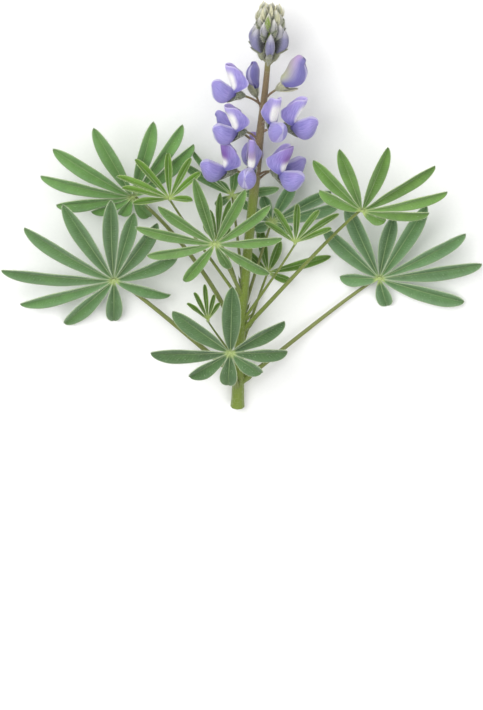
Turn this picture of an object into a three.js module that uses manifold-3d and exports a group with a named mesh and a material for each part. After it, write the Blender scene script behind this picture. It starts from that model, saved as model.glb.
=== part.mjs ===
// A lupin flower spike as picked: one cut flowering stem with its leaves, lying on a flat surface.
// Millimetres. +Y runs up the stem from the cut end to the tip, +X is across, +Z is up from the surface.
//
// Pieces: the stem with its flower stalks and calyxes, one violet corolla for each open flower, one
// violet bud for each large bud, the grey-green head of small buds, and one palmate leaf for each
// leaf stalk. Every piece keeps a gap of CLEARANCE to what carries it.

import * as THREE from "three";
import Module from "manifold-3d";

const wasm = await Module();
wasm.setup();

// ---- Driving dimensions ----

const CLEARANCE = 0.3; // gap between a piece and the piece that carries it
const SINK = 0.8; // how far a root is sunk into what it grows from

// The stem's centre line, from the cut end to the tip of the head.
const STEM_POINTS = [
  [-1, 0, 3.4],
  [0, 30, 7],
  [2.4, 62, 12.2],
  [5.2, 93, 17],
  [8.2, 124, 20],
  [11, 152, 20.8],
  [12.2, 179, 20.6],
];
const STEM_END = 156; // where the stem meets the head, along Y
const STEM_RADIUS = 1.85;
const STEM_TOP_RADIUS = 1.1;
const STEM_TAPER_FROM = 100;
const CUT_FLARE = 0.95; // extra radius at the cut end
const CUT_FLARE_LENGTH = 9;

const STALK_RADIUS = 0.5; // flower stalk
const STALK_RISE = 4.2; // how far the stalk climbs along the stem
const CALYX_LENGTH = 4.5;

// Open flowers: height on the stem, turn round it (0 faces up, 90 faces +X), reach of the stalk from
// the stem's surface to the calyx, rise of the flower's axis above square to the stem, size, and how
// far the banner stands open (1 is fully open).
const FLOWERS = [
  { at: 99.8, turn: -78, stalk: 5.4, rise: 6, size: 0.98, open: 1 },
  { at: 106, turn: -8, stalk: 4.0, rise: 0, size: 1.0, open: 1 },
  { at: 104.5, turn: 56, stalk: 5.2, rise: 0, size: 1.0, open: 1 },
  { at: 101.5, turn: 110, stalk: 4.6, rise: 6, size: 0.92, open: 1 },
  { at: 101, turn: -170, stalk: 3.4, rise: 6, size: 0.88, open: 1 },
  { at: 118.8, turn: -66, stalk: 4.8, rise: 3, size: 0.96, open: 1 },
  { at: 115.5, turn: -124, stalk: 4.2, rise: 8, size: 0.82, open: 0.3 },
  { at: 126, turn: 22, stalk: 4.2, rise: 2, size: 0.96, open: 1 },
  { at: 123, turn: 84, stalk: 6.6, rise: 6, size: 1.0, open: 1 },
  { at: 134.6, turn: -76, stalk: 5.4, rise: 15, size: 0.96, open: 1 },
  { at: 133.5, turn: -132, stalk: 2.6, rise: 70, size: 0.72, open: 0.2 },
  { at: 137.5, turn: 78, stalk: 3.8, rise: 42, size: 0.92, open: 0.3 },
];

// The ring of large violet buds round the foot of the head.
const LARGE_BUDS = { count: 7, at: 156, stagger: 1.4, length: 10.8, thick: 2.5, lean: 15, seat: 3.5 };

// The small buds spiral up the head; each pair is [lowest, highest].
const SMALL_BUDS = {
  count: 20,
  at: [161, 172.8],
  length: [8.4, 6],
  lean: [18, 4],
  seat: [3.5, 1.9],
  thick: [2.1, 1.3],
};
const GOLDEN_ANGLE = 137.508;

// Leaves: height where the stalk leaves the stem, how far the stalk bows sideways, hub of the blade,
// widest leaflet, tilt of the blade about X and roll about its own Y, angle at which the leaflets rise
// out of the blade's plane, how far they arch down again, and the leaflets as [angle in the blade's
// plane, length].
const LEAVES = [
  {
    name: "leaf_left_low",
    at: 13,
    hub: [-50.4, 56.4, 10],
    width: 7.2,
    tilt: 26,
    cup: 8,
    arch: 0.1,
    leaflets: [
      [170, 46], [140, 48], [113, 50], [93, 48], [79, 41], [62, 38],
      [31, 30], [-16, 24], [-90, 23], [-132, 31], [-163, 40],
    ],
  },
  {
    name: "leaf_left_high",
    at: 28,
    bow: -5,
    hub: [-42.8, 91.6, 9.5],
    width: 6.8,
    tilt: 26,
    roll: 8,
    cup: 6,
    arch: 0.1,
    leaflets: [
      [157, 41], [135, 45], [110, 45], [79, 42], [61, 43], [46, 36],
      [-62, 14], [-115, 11], [-158, 18], [179, 31],
    ],
  },
  {
    name: "leaf_left_young",
    at: 46,
    hub: [-28, 96.7, 26],
    width: 3.6,
    tilt: -44,
    cup: 30,
    arch: 0.08,
    leaflets: [
      [180, 22], [167, 25], [137, 22], [94, 19], [58, 19], [34, 17],
      [-18, 11], [-158, 18],
    ],
  },
  {
    name: "leaf_front_high",
    at: 49,
    hub: [-10, 78.3, 28],
    width: 4.8,
    tilt: 20,
    cup: 6,
    arch: 0.1,
    leaflets: [
      [164, 33], [139, 30], [103, 35], [68, 31], [41, 30], [7, 27],
      [-34, 27], [-62, 14], [-124, 23], [-168, 28],
    ],
  },
  {
    name: "leaf_front_low",
    at: 7,
    hub: [-3.9, 30.7, 24],
    width: 7.6,
    tilt: 24,
    cup: 6,
    arch: 0.08,
    leaflets: [[180, 32], [133, 33], [89, 37], [41, 28], [1, 23], [-42, 17], [-94, 18], [-142, 21]],
  },
  {
    name: "leaf_left_bud",
    at: 19,
    hub: [-12.8, 41.9, 17],
    width: 2.6,
    tilt: -50,
    cup: 40,
    arch: 0.05,
    leaflets: [[158, 12], [125, 13], [98, 15], [72, 11], [44, 9]],
  },
  {
    name: "leaf_right_young",
    at: 37,
    hub: [22, 76.9, 23],
    width: 3.2,
    tilt: -48,
    cup: 36,
    arch: 0.05,
    leaflets: [[161, 16], [129, 17], [84, 16], [46, 17], [22, 23], [4, 18]],
  },
  {
    name: "leaf_right_low",
    at: 10,
    hub: [55.8, 55.2, 4.8],
    width: 7.2,
    tilt: 18,
    cup: 8,
    arch: 0.1,
    leaflets: [
      [174, 16], [129, 35], [109, 41], [84, 33], [64, 43], [33, 42],
      [13, 42], [-18, 36], [-79, 14],
    ],
  },
  {
    name: "leaf_right_high",
    at: 33,
    hub: [48.6, 91.8, 26.5],
    width: 6.2,
    tilt: 24,
    cup: 8,
    arch: 0.1,
    leaflets: [[144, 21], [124, 35], [103, 37], [74, 38], [45, 39], [16, 36], [-2, 27], [-30, 11]],
  },
  {
    name: "leaf_back_right",
    at: 40,
    hub: [12.8, 80.4, 8],
    width: 6,
    tilt: 4,
    cup: 3,
    arch: 0.05,
    leaflets: [[30, 27], [14, 28], [65, 19], [108, 12], [148, 10], [-162, 8], [-25, 9]],
  },
  {
    name: "leaf_back_low",
    at: 24,
    hub: [11.2, 57.8, 4.6],
    width: 5,
    tilt: -8,
    cup: 2,
    arch: 0.02,
    leaflets: [[102, 21], [69, 14], [13, 26], [-22, 10], [166, 7], [137, 13]],
  },
  {
    name: "leaf_behind_front",
    at: 35,
    bow: -3,
    hub: [-8.8, 74.2, 12],
    width: 3.2,
    tilt: 4,
    cup: 14,
    arch: 0.06,
    leaflets: [[89, 23], [77, 20], [102, 15], [128, 10], [52, 8]],
  },
  {
    name: "leaf_back_high",
    at: 52,
    hub: [-3.2, 93.3, 12],
    width: 4,
    tilt: 3,
    cup: 3,
    arch: 0.04,
    leaflets: [[130, 25], [145, 24], [82, 12], [127, 8], [8, 19], [-37, 10], [-148, 8]],
  },
];
const BLADE_THICKNESS = 0.7;
const BLADE_FOLD = 0.22; // depth of the channel along the rib, as a share of the width
const WIDEST_SECTOR = 60; // a leaflet with no near neighbour is narrowed as if one stood at twice this
const SECTOR_SHARE = 0.95; // share of its sector that a crowded leaflet fills

// The three pieces whose lowest points touch the surface.
const REST_ON = ["leaf_left_low", "leaf_right_low", "flower_05"];

const COLOURS = {
  stem: "#7c8446",
  corolla: "#9488d6",
  bud: "#8781bd",
  head: "#a3a984",
  leafOld: "#5c8c62",
  leafYoung: "#6b9a45",
};

// ---- Small helpers ----

const V = (x, y, z) => new THREE.Vector3(x, y, z);
const lerp = THREE.MathUtils.lerp;
const rad = THREE.MathUtils.degToRad;

/** A closed surface through rings of points that turn anticlockwise about the way they advance. */
function loft(rings) {
  const count = rings[0].length;
  const index = [];
  for (let i = 0; i + 1 < rings.length; i++) {
    for (let j = 0; j < count; j++) {
      const a = i * count + j;
      const b = i * count + ((j + 1) % count);
      index.push(a, b, b + count, a, b + count, a + count);
    }
  }
  // Each end is closed like a ladder, from its first point and its last point inwards.
  const end = (rings.length - 1) * count;
  for (let j = 0; j < count / 2 - 1; j++) {
    const [a, b, c, d] = [j, j + 1, count - 2 - j, count - 1 - j];
    index.push(a, c, b, a, d, c);
    index.push(end + a, end + b, end + c, end + a, end + c, end + d);
  }
  const geometry = new THREE.BufferGeometry().setFromPoints(rings.flat());
  geometry.setIndex(index);
  return geometry;
}

/** An oval ring about centre; a x b is the way the loft advances. */
function oval(centre, a, b, halfA, halfB, count) {
  return Array.from({ length: count }, (_, j) => {
    const angle = (2 * Math.PI * (j + 0.5)) / count;
    return centre
      .clone()
      .addScaledVector(a, halfA * Math.cos(angle))
      .addScaledVector(b, halfB * Math.sin(angle));
  });
}

/** A closed round tube along a curve, with its radius given as a function of the share travelled. */
function taperedTube(curve, radiusAt, sides, steps) {
  const frames = curve.computeFrenetFrames(steps, false);
  const rings = frames.tangents.map((_, i) => {
    const radius = radiusAt(i / steps);
    return oval(curve.getPointAt(i / steps), frames.normals[i], frames.binormals[i], radius, radius, sides);
  });
  return loft(rings);
}

/** An indexed geometry as a solid that can be joined and cut. */
function solidOf(geometry) {
  return new wasm.Manifold(
    new wasm.Mesh({
      numProp: 3,
      vertProperties: Float32Array.from(geometry.attributes.position.array),
      triVerts: Uint32Array.from(geometry.index.array),
    }),
  );
}

/** Several geometries joined as one solid. */
function fuse(geometries) {
  return geometries.map(solidOf).reduce((whole, piece) => whole.add(piece));
}

/** A solid as a geometry again. */
function geometryOf(solid) {
  const mesh = solid.getMesh();
  const geometry = new THREE.BufferGeometry();
  geometry.setAttribute("position", new THREE.BufferAttribute(mesh.vertProperties, 3));
  geometry.setIndex(new THREE.BufferAttribute(mesh.triVerts, 1));
  return geometry;
}

function named(name, solid, colour, roughness) {
  const material = new THREE.MeshStandardMaterial({ color: colour, roughness, metalness: 0 });
  material.flatShading = true;
  const mesh = new THREE.Mesh(geometryOf(solid), material);
  mesh.name = name;
  return mesh;
}

// ---- Stem ----

const stemLine = new THREE.CatmullRomCurve3(STEM_POINTS.map((p) => V(...p)));

/** The share of the stem line at which it reaches height y. */
function stemShare(y) {
  let [low, high] = [0, 1];
  for (let i = 0; i < 40; i++) {
    const middle = (low + high) / 2;
    if (stemLine.getPoint(middle).y < y) low = middle;
    else high = middle;
  }
  return (low + high) / 2;
}

/** The stem's centre, direction and outward direction at height y, turned round it by an angle. */
function stemFrame(y, turn = 0) {
  const share = stemShare(y);
  const along = stemLine.getTangent(share);
  const side = V(1, 0, 0).addScaledVector(along, -along.x).normalize();
  const front = side.clone().cross(along);
  const out = front.multiplyScalar(Math.cos(rad(turn))).addScaledVector(side, Math.sin(rad(turn)));
  return { centre: stemLine.getPoint(share), along, out };
}

function stemRadius(y) {
  const taper = THREE.MathUtils.smoothstep(y, STEM_TAPER_FROM, STEM_END);
  return lerp(STEM_RADIUS, STEM_TOP_RADIUS, taper) + CUT_FLARE * Math.exp(-y / CUT_FLARE_LENGTH);
}

/** The bare stem between two heights, thickened by extra. */
function stemTube(from, to, extra, steps) {
  const rings = Array.from({ length: steps + 1 }, (_, i) => {
    const y = lerp(from, to, (i / steps) ** 1.15);
    const { centre, along, out } = stemFrame(y);
    const radius = stemRadius(y) + extra;
    return oval(centre, out.clone().cross(along).negate(), out.clone(), radius, radius, 8).reverse();
  });
  return loft(rings);
}

// ---- Flowers ----

/** Where a flower sits: its own frame of forward, left and up, with its origin at the calyx's foot. */
function flowerSeat({ at, turn, stalk, rise, size }) {
  const { centre, along, out } = stemFrame(at, turn);
  const radius = stemRadius(at);
  const foot = centre
    .clone()
    .addScaledVector(out, radius + stalk)
    .addScaledVector(along, STALK_RISE);
  const forward = out
    .clone()
    .multiplyScalar(Math.cos(rad(rise)))
    .addScaledVector(along, Math.sin(rad(rise)));
  const up = along
    .clone()
    .multiplyScalar(Math.cos(rad(rise)))
    .addScaledVector(out, -Math.sin(rad(rise)));
  const left = up.clone().cross(forward);
  const place = (x, y, z) =>
    foot
      .clone()
      .addScaledVector(forward, x * size)
      .addScaledVector(left, y * size)
      .addScaledVector(up, z * size);
  return { centre, along, out, radius, stalk, foot, forward, left, up, place, size };
}

/** The stalk: a thin tube that leaves the stem at a slant and bends out to the calyx. */
function flowerStalk(seat) {
  const { centre, along, out, radius, stalk, foot, forward } = seat;
  const root = centre.clone().addScaledVector(out, radius - SINK);
  const bend = centre
    .clone()
    .addScaledVector(out, radius + stalk * 0.45)
    .addScaledVector(along, STALK_RISE * 0.62);
  const head = foot.clone().addScaledVector(forward, SINK);
  const curve = new THREE.CatmullRomCurve3([root, bend, head]);
  return taperedTube(curve, () => STALK_RADIUS, 6, 2);
}

/** The calyx: a hairy cup, closed by the flat face that the petals start from. */
function calyxCup(seat) {
  const profile = [
    [0, 0.8],
    [1.8, 1.95],
    [CALYX_LENGTH, 2.25],
  ];
  return loft(
    profile.map(([x, r]) =>
      oval(seat.place(x, 0, -0.1 * x), seat.left, seat.up, r * seat.size, r * seat.size * 1.05, 6),
    ),
  );
}

/** The calyx's lower lip: a tapering scoop that runs on under the wings. */
function calyxLip(seat) {
  const stations = [
    [2.6, -1.5, 1.5],
    [6.9, -5.1, 0.55],
  ];
  return loft(
    stations.map(([x, z, halfWidth]) =>
      oval(seat.place(x, 0, z), seat.left, seat.up, halfWidth * seat.size, 0.42 * seat.size, 6),
    ),
  );
}

/** The banner: a sheet that stands up over the wings with its sides folded back, or still wraps them. */
function banner(seat, open) {
  // Height up the sheet, forward bow, half width.
  const stations = [
    [0.4, 0, 1.5],
    [3.2, 0.7, 5.4],
    [6.8, 1.9, 7.4],
    [10.4, 3.1, 6.6],
    [12.8, 4.1, 3.8],
  ];
  const thickness = 0.8;
  const folded = open > 0.5 ? 1 : -1;
  const foldRadius = folded > 0 ? 2.8 : 3.9;
  const closed = rad(62 * (1 - open));
  const shares = [-1, -0.5, 0, 0.5, 1];
  const rings = stations.map(([height, bow, halfWidth]) => {
    const point = (share, depth) => {
      const arc = Math.min(Math.abs(share) * halfWidth, foldRadius * 1.25);
      const rest = Math.abs(share) * halfWidth - arc;
      const bend = arc / foldRadius;
      const [sine, cosine] = [Math.sin(bend), Math.cos(bend)];
      const across = foldRadius * sine + rest * cosine - folded * depth * sine;
      const back = folded * (foldRadius * (1 - cosine) + rest * sine) + depth * cosine;
      const face = bow - back;
      return seat.place(
        6.15 + face * Math.cos(closed) + height * Math.sin(closed),
        Math.sign(share) * across,
        0.3 + height * Math.cos(closed) - face * Math.sin(closed),
      );
    };
    return [
      ...shares.map((share) => point(share, 0)),
      ...shares.toReversed().map((share) => point(share, thickness)),
    ];
  });
  return loft(rings);
}

/** The two wings, joined at their tips round the keel: one blunt, upturned pouch. */
function wings(seat) {
  // Forward, height of the middle, half height, half width.
  const stations = [
    [4.95, -0.35, 1.4, 0.9],
    [7.2, -1.1, 3.3, 2.5],
    [10.4, -1.1, 4.4, 3.4],
    [13.4, 0.1, 4.0, 3.1],
    [15.5, 1.4, 1.9, 1.5],
  ];
  return loft(
    stations.map(([x, z, halfHeight, halfWidth]) =>
      oval(seat.place(x, 0, z), seat.left, seat.up, halfWidth * seat.size, halfHeight * seat.size, 8),
    ),
  );
}

// ---- Buds ----

/** Where a bud sits on the head: its foot, its own axis, and the directions across and outwards. */
function budSeat(at, turn, seat, lean) {
  const { centre, along, out } = stemFrame(at, turn);
  const foot = centre.clone().addScaledVector(out, seat);
  const [sine, cosine] = [Math.sin(rad(lean)), Math.cos(rad(lean))];
  const axis = along.clone().multiplyScalar(cosine).addScaledVector(out, sine);
  const outward = out.clone().multiplyScalar(cosine).addScaledVector(along, -sine);
  return { foot, axis, outward, across: outward.clone().cross(axis), turn };
}

/** A bud: a pointed drop, flattened from side to side, with its back bowed outwards. */
function bud(seat, length, thick, extra) {
  // Share of the length, share of the thickness, bow.
  const stations = [
    [0, 0.42, 0],
    [0.3, 0.96, 0.07],
    [0.68, 0.9, 0.07],
    [1, 0.16, -0.02],
  ];
  const stretch = length + 2 * extra;
  return loft(
    stations.map(([share, swell, bow]) => {
      const centre = seat.foot
        .clone()
        .addScaledVector(seat.axis, share * stretch - extra)
        .addScaledVector(seat.outward, bow * length);
      return oval(centre, seat.across, seat.outward, swell * thick * 0.7 + extra, swell * thick + extra, 6);
    }),
  );
}

const largeBudSeats = Array.from({ length: LARGE_BUDS.count }, (_, i) =>
  budSeat(
    LARGE_BUDS.at + (i % 2) * LARGE_BUDS.stagger,
    (360 * i) / LARGE_BUDS.count + 4,
    LARGE_BUDS.seat,
    LARGE_BUDS.lean,
  ),
);

/** The small hairy calyx under a large bud, and the short stalk that joins it to the stem. */
function budCalyx(seat) {
  const cup = [
    [-3.4, 0.6],
    [-2.0, 1.25],
    [-CLEARANCE, 1.5],
  ].map(([along, radius]) => {
    const middle = seat.foot.clone().addScaledVector(seat.axis, along);
    return oval(middle, seat.across, seat.outward, radius * 0.8, radius, 6);
  });
  const { centre, out } = stemFrame(seat.foot.y - 4.6, seat.turn);
  const root = centre.addScaledVector(out, STEM_TOP_RADIUS - 0.5);
  const stalk = new THREE.LineCurve3(root, seat.foot.clone().addScaledVector(seat.axis, -2.4));
  return [loft(cup), taperedTube(stalk, () => STALK_RADIUS * 1.1, 6, 1)];
}

/** The head: small buds in a spiral round a slim core that fills the space between them. */
function headOfBuds() {
  const core = [
    [STEM_END + CLEARANCE, 0.95],
    [160, 1.5],
    [163, 3.6],
    [168, 3.6],
    [174, 3],
    [177.2, 1.4],
  ].map(([y, radius]) => {
    const { centre, along, out } = stemFrame(y);
    return oval(centre, out.clone().cross(along).negate(), out.clone(), radius, radius, 8).reverse();
  });
  const buds = Array.from({ length: SMALL_BUDS.count }, (_, i) => {
    const share = i / (SMALL_BUDS.count - 1);
    const along = (pair) => lerp(pair[0], pair[1], share);
    const { at, seat, lean, length, thick } = SMALL_BUDS;
    const place = budSeat(along(at), i * GOLDEN_ANGLE, along(seat), along(lean));
    return bud(place, along(length), along(thick), 0);
  });
  return fuse([loft(core), ...buds]);
}

// ---- Leaves ----

/** The blade's own frame at its hub, and the longest of its leaflets. */
function bladeOf(leaf) {
  const turned = new THREE.Euler(rad(leaf.tilt), rad(leaf.roll ?? 0), 0);
  return {
    hub: V(...leaf.hub),
    across: V(1, 0, 0).applyEuler(turned),
    away: V(0, 1, 0).applyEuler(turned),
    normal: V(0, 0, 1).applyEuler(turned),
    longest: Math.max(...leaf.leaflets.map(([, length]) => length)),
  };
}

/** The slope of the line halfway between two leaflets, which neither of them crosses. */
function sectorSlope(degreesBetween) {
  return Math.tan(rad(Math.min(degreesBetween / 2, WIDEST_SECTOR))) * SECTOR_SHARE;
}

/**
 * The blade: one thin sheet of leaflets that part at the hub. Each leaflet is widest three quarters of
 * the way out, keeps to its own sector, is folded along its rib, and arches down to its tip. The
 * underside repeats the upper side.
 */
function bladeSheet(blade, leaf) {
  const { hub, across, away, normal, longest } = blade;
  const leaflets = leaf.leaflets.toSorted((one, other) => one[0] - other[0]);
  const count = leaflets.length;
  const hubRadius = 0.7 + count * 0.13;
  const rise = Math.sin(rad(leaf.cup));
  // Share of the length, share of the width.
  const stations = [
    [0.4, 0.84],
    [0.77, 0.96],
    [1, 0.18],
  ];

  const top = [];
  const bottom = [];
  const add = (angle, out, aside, up, thickness) => {
    const outward = across.clone().multiplyScalar(Math.cos(angle)).addScaledVector(away, Math.sin(angle));
    const side = normal.clone().cross(outward);
    const point = hub
      .clone()
      .addScaledVector(outward, out)
      .addScaledVector(side, aside)
      .addScaledVector(normal, up);
    top.push(point);
    bottom.push(point.clone().addScaledVector(normal, -thickness));
    return top.length - 1;
  };

  const centre = add(0, 0, 0, 0.3, 1.3);
  const corners = leaflets.map(([angle], i) => {
    const next = i + 1 < count ? leaflets[i + 1][0] : leaflets[0][0] + 360;
    return add(rad((angle + next) / 2), hubRadius * 0.85, 0, hubRadius * rise + 0.2, BLADE_THICKNESS);
  });
  const faces = [];
  leaflets.forEach(([degrees, length], i) => {
    const angle = rad(degrees);
    const width = leaf.width * lerp(0.72, 1, Math.min(1, length / (0.6 * longest)));
    const before = i > 0 ? leaflets[i - 1][0] : leaflets[count - 1][0] - 360;
    const after = i + 1 < count ? leaflets[i + 1][0] : leaflets[0][0] + 360;
    let right = corners[(i + count - 1) % count];
    let rib = add(angle, hubRadius, 0, hubRadius * rise, BLADE_THICKNESS);
    let left = corners[i];
    faces.push([centre, right, rib], [centre, rib, left]);
    for (const [share, swell] of stations) {
      const out = length * share * Math.cos(rad(leaf.cup));
      const up = length * (rise * share - leaf.arch * share ** 2);
      const halfRight = Math.min((width * swell) / 2, out * sectorSlope(degrees - before));
      const halfLeft = Math.min((width * swell) / 2, out * sectorSlope(after - degrees));
      const nextRight = add(angle, out, -halfRight, up + 2 * halfRight * BLADE_FOLD, BLADE_THICKNESS);
      const nextRib = add(angle, out, 0, up, BLADE_THICKNESS);
      const nextLeft = add(angle, out, halfLeft, up + 2 * halfLeft * BLADE_FOLD, BLADE_THICKNESS);
      faces.push([right, nextRight, nextRib], [right, nextRib, rib]);
      faces.push([rib, nextRib, nextLeft], [rib, nextLeft, left]);
      [right, rib, left] = [nextRight, nextRib, nextLeft];
    }
  });

  // The rim: a strip along every edge that only one face of the upper side has.
  const under = top.length;
  const edges = new Map();
  for (const [a, b, c] of faces) {
    for (const [from, to] of [[a, b], [b, c], [c, a]]) edges.set(`${from} ${to}`, [from, to]);
  }
  const rim = [...edges.values()].filter(([from, to]) => !edges.has(`${to} ${from}`));
  const index = [
    ...faces,
    ...faces.map(([a, b, c]) => [a + under, c + under, b + under]),
    ...rim.flatMap(([from, to]) => [
      [to, from, from + under],
      [to, from + under, to + under],
    ]),
  ];
  const geometry = new THREE.BufferGeometry().setFromPoints([...top, ...bottom]);
  geometry.setIndex(index.flat());
  return geometry;
}

/** The stalk from the stem to the hub, nearly straight; it meets the blade from below. */
function leafStalk(blade, leaf) {
  const { centre } = stemFrame(leaf.at);
  const end = blade.hub.clone().addScaledVector(blade.normal, -0.9);
  const chord = end.clone().sub(centre);
  const aside = V(chord.y, -chord.x, 0).normalize().multiplyScalar(-(leaf.bow ?? 0));
  const sag = chord.length() * 0.05;
  const first = centre.clone().addScaledVector(chord, 0.3).addScaledVector(aside, 1.5);
  const last = centre
    .clone()
    .addScaledVector(chord, 0.75)
    .addScaledVector(aside, 0.9)
    .addScaledVector(blade.normal, -sag);
  const curve = new THREE.CubicBezierCurve3(centre, first, last, end);
  const radius = 0.3 + 0.017 * blade.longest;
  return taperedTube(curve, (share) => radius * lerp(1.25, 0.75, share), 6, 5);
}

// ---- Lying down ----

/** The lowest corner of a piece, as the group stands now. */
function lowestPoint(mesh) {
  const positions = mesh.geometry.attributes.position;
  let lowest = V(0, 0, Infinity);
  for (let i = 0; i < positions.count; i++) {
    const point = V().fromBufferAttribute(positions, i).applyMatrix4(mesh.matrixWorld);
    if (point.z < lowest.z) lowest = point;
  }
  return lowest;
}

/** Turns the group until its three resting points are level, then puts the middle of its foot at 0. */
function layDown(group) {
  for (let round = 0; round < 5; round++) {
    group.updateMatrixWorld(true);
    const [a, b, c] = REST_ON.map((name) => lowestPoint(group.getObjectByName(name)));
    const normal = b.sub(a).cross(c.sub(a)).normalize();
    if (normal.z < 0) normal.negate();
    group.applyQuaternion(new THREE.Quaternion().setFromUnitVectors(normal, V(0, 0, 1)));
  }
  group.updateMatrixWorld(true);
  const box = new THREE.Box3().setFromObject(group, true);
  group.position.set(-(box.min.x + box.max.x) / 2, -(box.min.y + box.max.y) / 2, -box.min.z);
}

// ---- The whole spike ----

const spike = new THREE.Group();
const seats = FLOWERS.map(flowerSeat);

const stem = fuse([
  stemTube(0, STEM_END, 0, 16),
  ...seats.flatMap((seat) => [flowerStalk(seat), calyxCup(seat), calyxLip(seat)]),
  ...largeBudSeats.flatMap(budCalyx),
]);
spike.add(named("stem", stem, COLOURS.stem, 0.7));

seats.forEach((seat, i) => {
  const corolla = fuse([banner(seat, FLOWERS[i].open), wings(seat)]);
  spike.add(named(`flower_${String(i + 1).padStart(2, "0")}`, corolla, COLOURS.corolla, 0.6));
});

const largeBud = (seat, extra) => bud(seat, LARGE_BUDS.length, LARGE_BUDS.thick, extra);
const budRoom = fuse(largeBudSeats.map((seat) => largeBud(seat, CLEARANCE)));
largeBudSeats.forEach((seat, i) => {
  const solid = solidOf(largeBud(seat, 0));
  spike.add(named(`bud_${i + 1}`, solid, COLOURS.bud, 0.65));
});
spike.add(named("bud_head", headOfBuds().subtract(budRoom), COLOURS.head, 0.8));

const stemRoom = solidOf(stemTube(-3, STEM_END, CLEARANCE, 16));
LEAVES.forEach((leaf) => {
  const blade = bladeOf(leaf);
  const colour = leaf.width > 6 ? COLOURS.leafOld : COLOURS.leafYoung;
  const whole = fuse([leafStalk(blade, leaf), bladeSheet(blade, leaf)]).subtract(stemRoom);
  spike.add(named(leaf.name, whole, colour, 0.7));
});

layDown(spike);
export default spike;
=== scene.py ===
"""A lupin flower spike, cut and laid on a pale surface, dressed round its CAD frame.

Every shape is worked out in millimetres in the plant's own frame: +Y runs up the stem, +X is across and +Z
is up from the surface. settle() then turns and shifts it as the CAD part lies, and writes metres. A shape
is a set of rings of points, each ring a whole numpy array, joined ring to ring into a closed skin.
"""

import math

import bpy
import numpy as np
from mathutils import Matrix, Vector


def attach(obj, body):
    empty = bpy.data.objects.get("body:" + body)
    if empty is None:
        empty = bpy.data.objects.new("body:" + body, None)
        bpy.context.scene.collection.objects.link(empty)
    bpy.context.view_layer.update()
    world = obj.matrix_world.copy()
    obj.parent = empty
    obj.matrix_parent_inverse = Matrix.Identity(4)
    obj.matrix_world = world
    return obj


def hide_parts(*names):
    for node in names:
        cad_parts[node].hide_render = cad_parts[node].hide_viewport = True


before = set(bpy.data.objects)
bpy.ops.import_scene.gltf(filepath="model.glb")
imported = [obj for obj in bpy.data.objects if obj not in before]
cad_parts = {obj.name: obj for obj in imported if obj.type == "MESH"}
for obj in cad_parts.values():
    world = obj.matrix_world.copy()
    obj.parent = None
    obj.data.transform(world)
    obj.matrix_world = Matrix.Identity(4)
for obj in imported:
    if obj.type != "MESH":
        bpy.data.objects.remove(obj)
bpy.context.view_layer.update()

# ---- Driving dimensions, in millimetres and degrees ----

# The stem and the leaves keep the part's measures, but for one narrower leaf. The flowers and the buds are
# set a little closer to the photograph.

METRE = 0.001  # one millimetre in the scene's unit
LAID_TURN = (0.00409024, 0.00257819)  # small turns about X and Y, in radians, that lay the plant level
LAID_SHIFT = np.array([-0.58008, -89.13906, -0.47276])
SURFACE_CLEARANCE = 0.03  # nothing dips closer to the surface than this

STEM_POINTS = [
    [-1, 0, 3.4],
    [0, 30, 7],
    [2.4, 62, 12.2],
    [5.2, 93, 17],
    [8.2, 124, 20],
    [11, 152, 20.8],
    [12.2, 179, 20.6],
]
STEM_END = 156
STEM_RADIUS = 1.85
STEM_TOP_RADIUS = 1.1
STEM_TAPER_FROM = 100
CUT_FLARE = 0.95
CUT_FLARE_LENGTH = 9
# Round the cut edge: height and share of the radius.
CUT_EDGE = np.array([[0.0, 0.05], [0.0, 0.72], [0.02, 0.93], [0.12, 0.99], [0.4, 1.0]])
STALK_RADIUS = 0.5
STALK_RISE = 4.2

# Flowers: height on the stem, turn round it, reach of the stalk, rise of the flower's axis, size, and
# whether it stands open.
# An open flower has blush, how far its white spot has turned magenta, as it does once it is past its best.
# Some also have fold, how far the banner's sides are turned back, below and above, in radians; tight, the
# share of the usual radius at which they fold; grown, how tall and wide the banner is; crest, how far its
# sides rise above its middle; nod, how far it leans forward; and spot, how much wider its white spot is.
# An opening flower has slim, its slimness. Some also have roll, its turn about its own axis; wrap, how far
# its hood closes round the wings, in radians; and cream, how creamy the hood's ridge is.
FLOWERS = [
    dict(at=102, turn=-75, stalk=6.2, rise=6, size=0.98, open=1, blush=1.0, nod=1, spot=0.08),
    dict(
        at=106.8, turn=-14, stalk=4.0, rise=-3, size=1.0, open=1, blush=0.6,
        fold=(1.45, 1.6), tight=0.54, grown=1.27, crest=-3.0,
    ),
    dict(at=104.2, turn=56, stalk=4.8, rise=0, size=1.0, open=1, blush=0.9, grown=1.06, crest=-1.2),
    dict(at=101.5, turn=110, stalk=4.6, rise=6, size=0.92, open=1, blush=0.3, grown=0.84),
    dict(at=101, turn=-170, stalk=3.4, rise=6, size=0.88, open=1, blush=0.6),
    dict(at=119.6, turn=-64, stalk=4.6, rise=3, size=0.96, open=1, blush=0.0, nod=14, spot=0.15),
    dict(at=116, turn=-118, stalk=5.6, rise=8, size=0.74, open=0, slim=0.85, cream=0.0),
    dict(at=126, turn=22, stalk=4.2, rise=2, size=0.98, open=1, blush=0.1, fold=(1.3, 1.5), tight=0.85),
    dict(at=123, turn=71, stalk=6.6, rise=13, size=1.0, open=1, blush=0.0, nod=17),
    dict(at=134.2, turn=-73, stalk=6.8, rise=15, size=0.96, open=1, blush=0.0, nod=21, spot=0.13),
    dict(
        at=132.1, turn=-132, stalk=2.6, rise=66, size=0.76, open=0, slim=0.84,
        roll=258, wrap=0.98, cream=0.45,
    ),
    dict(at=137.5, turn=78, stalk=3.1, rise=44, size=0.95, open=0, slim=1.0, cream=1.0),
]

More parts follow.
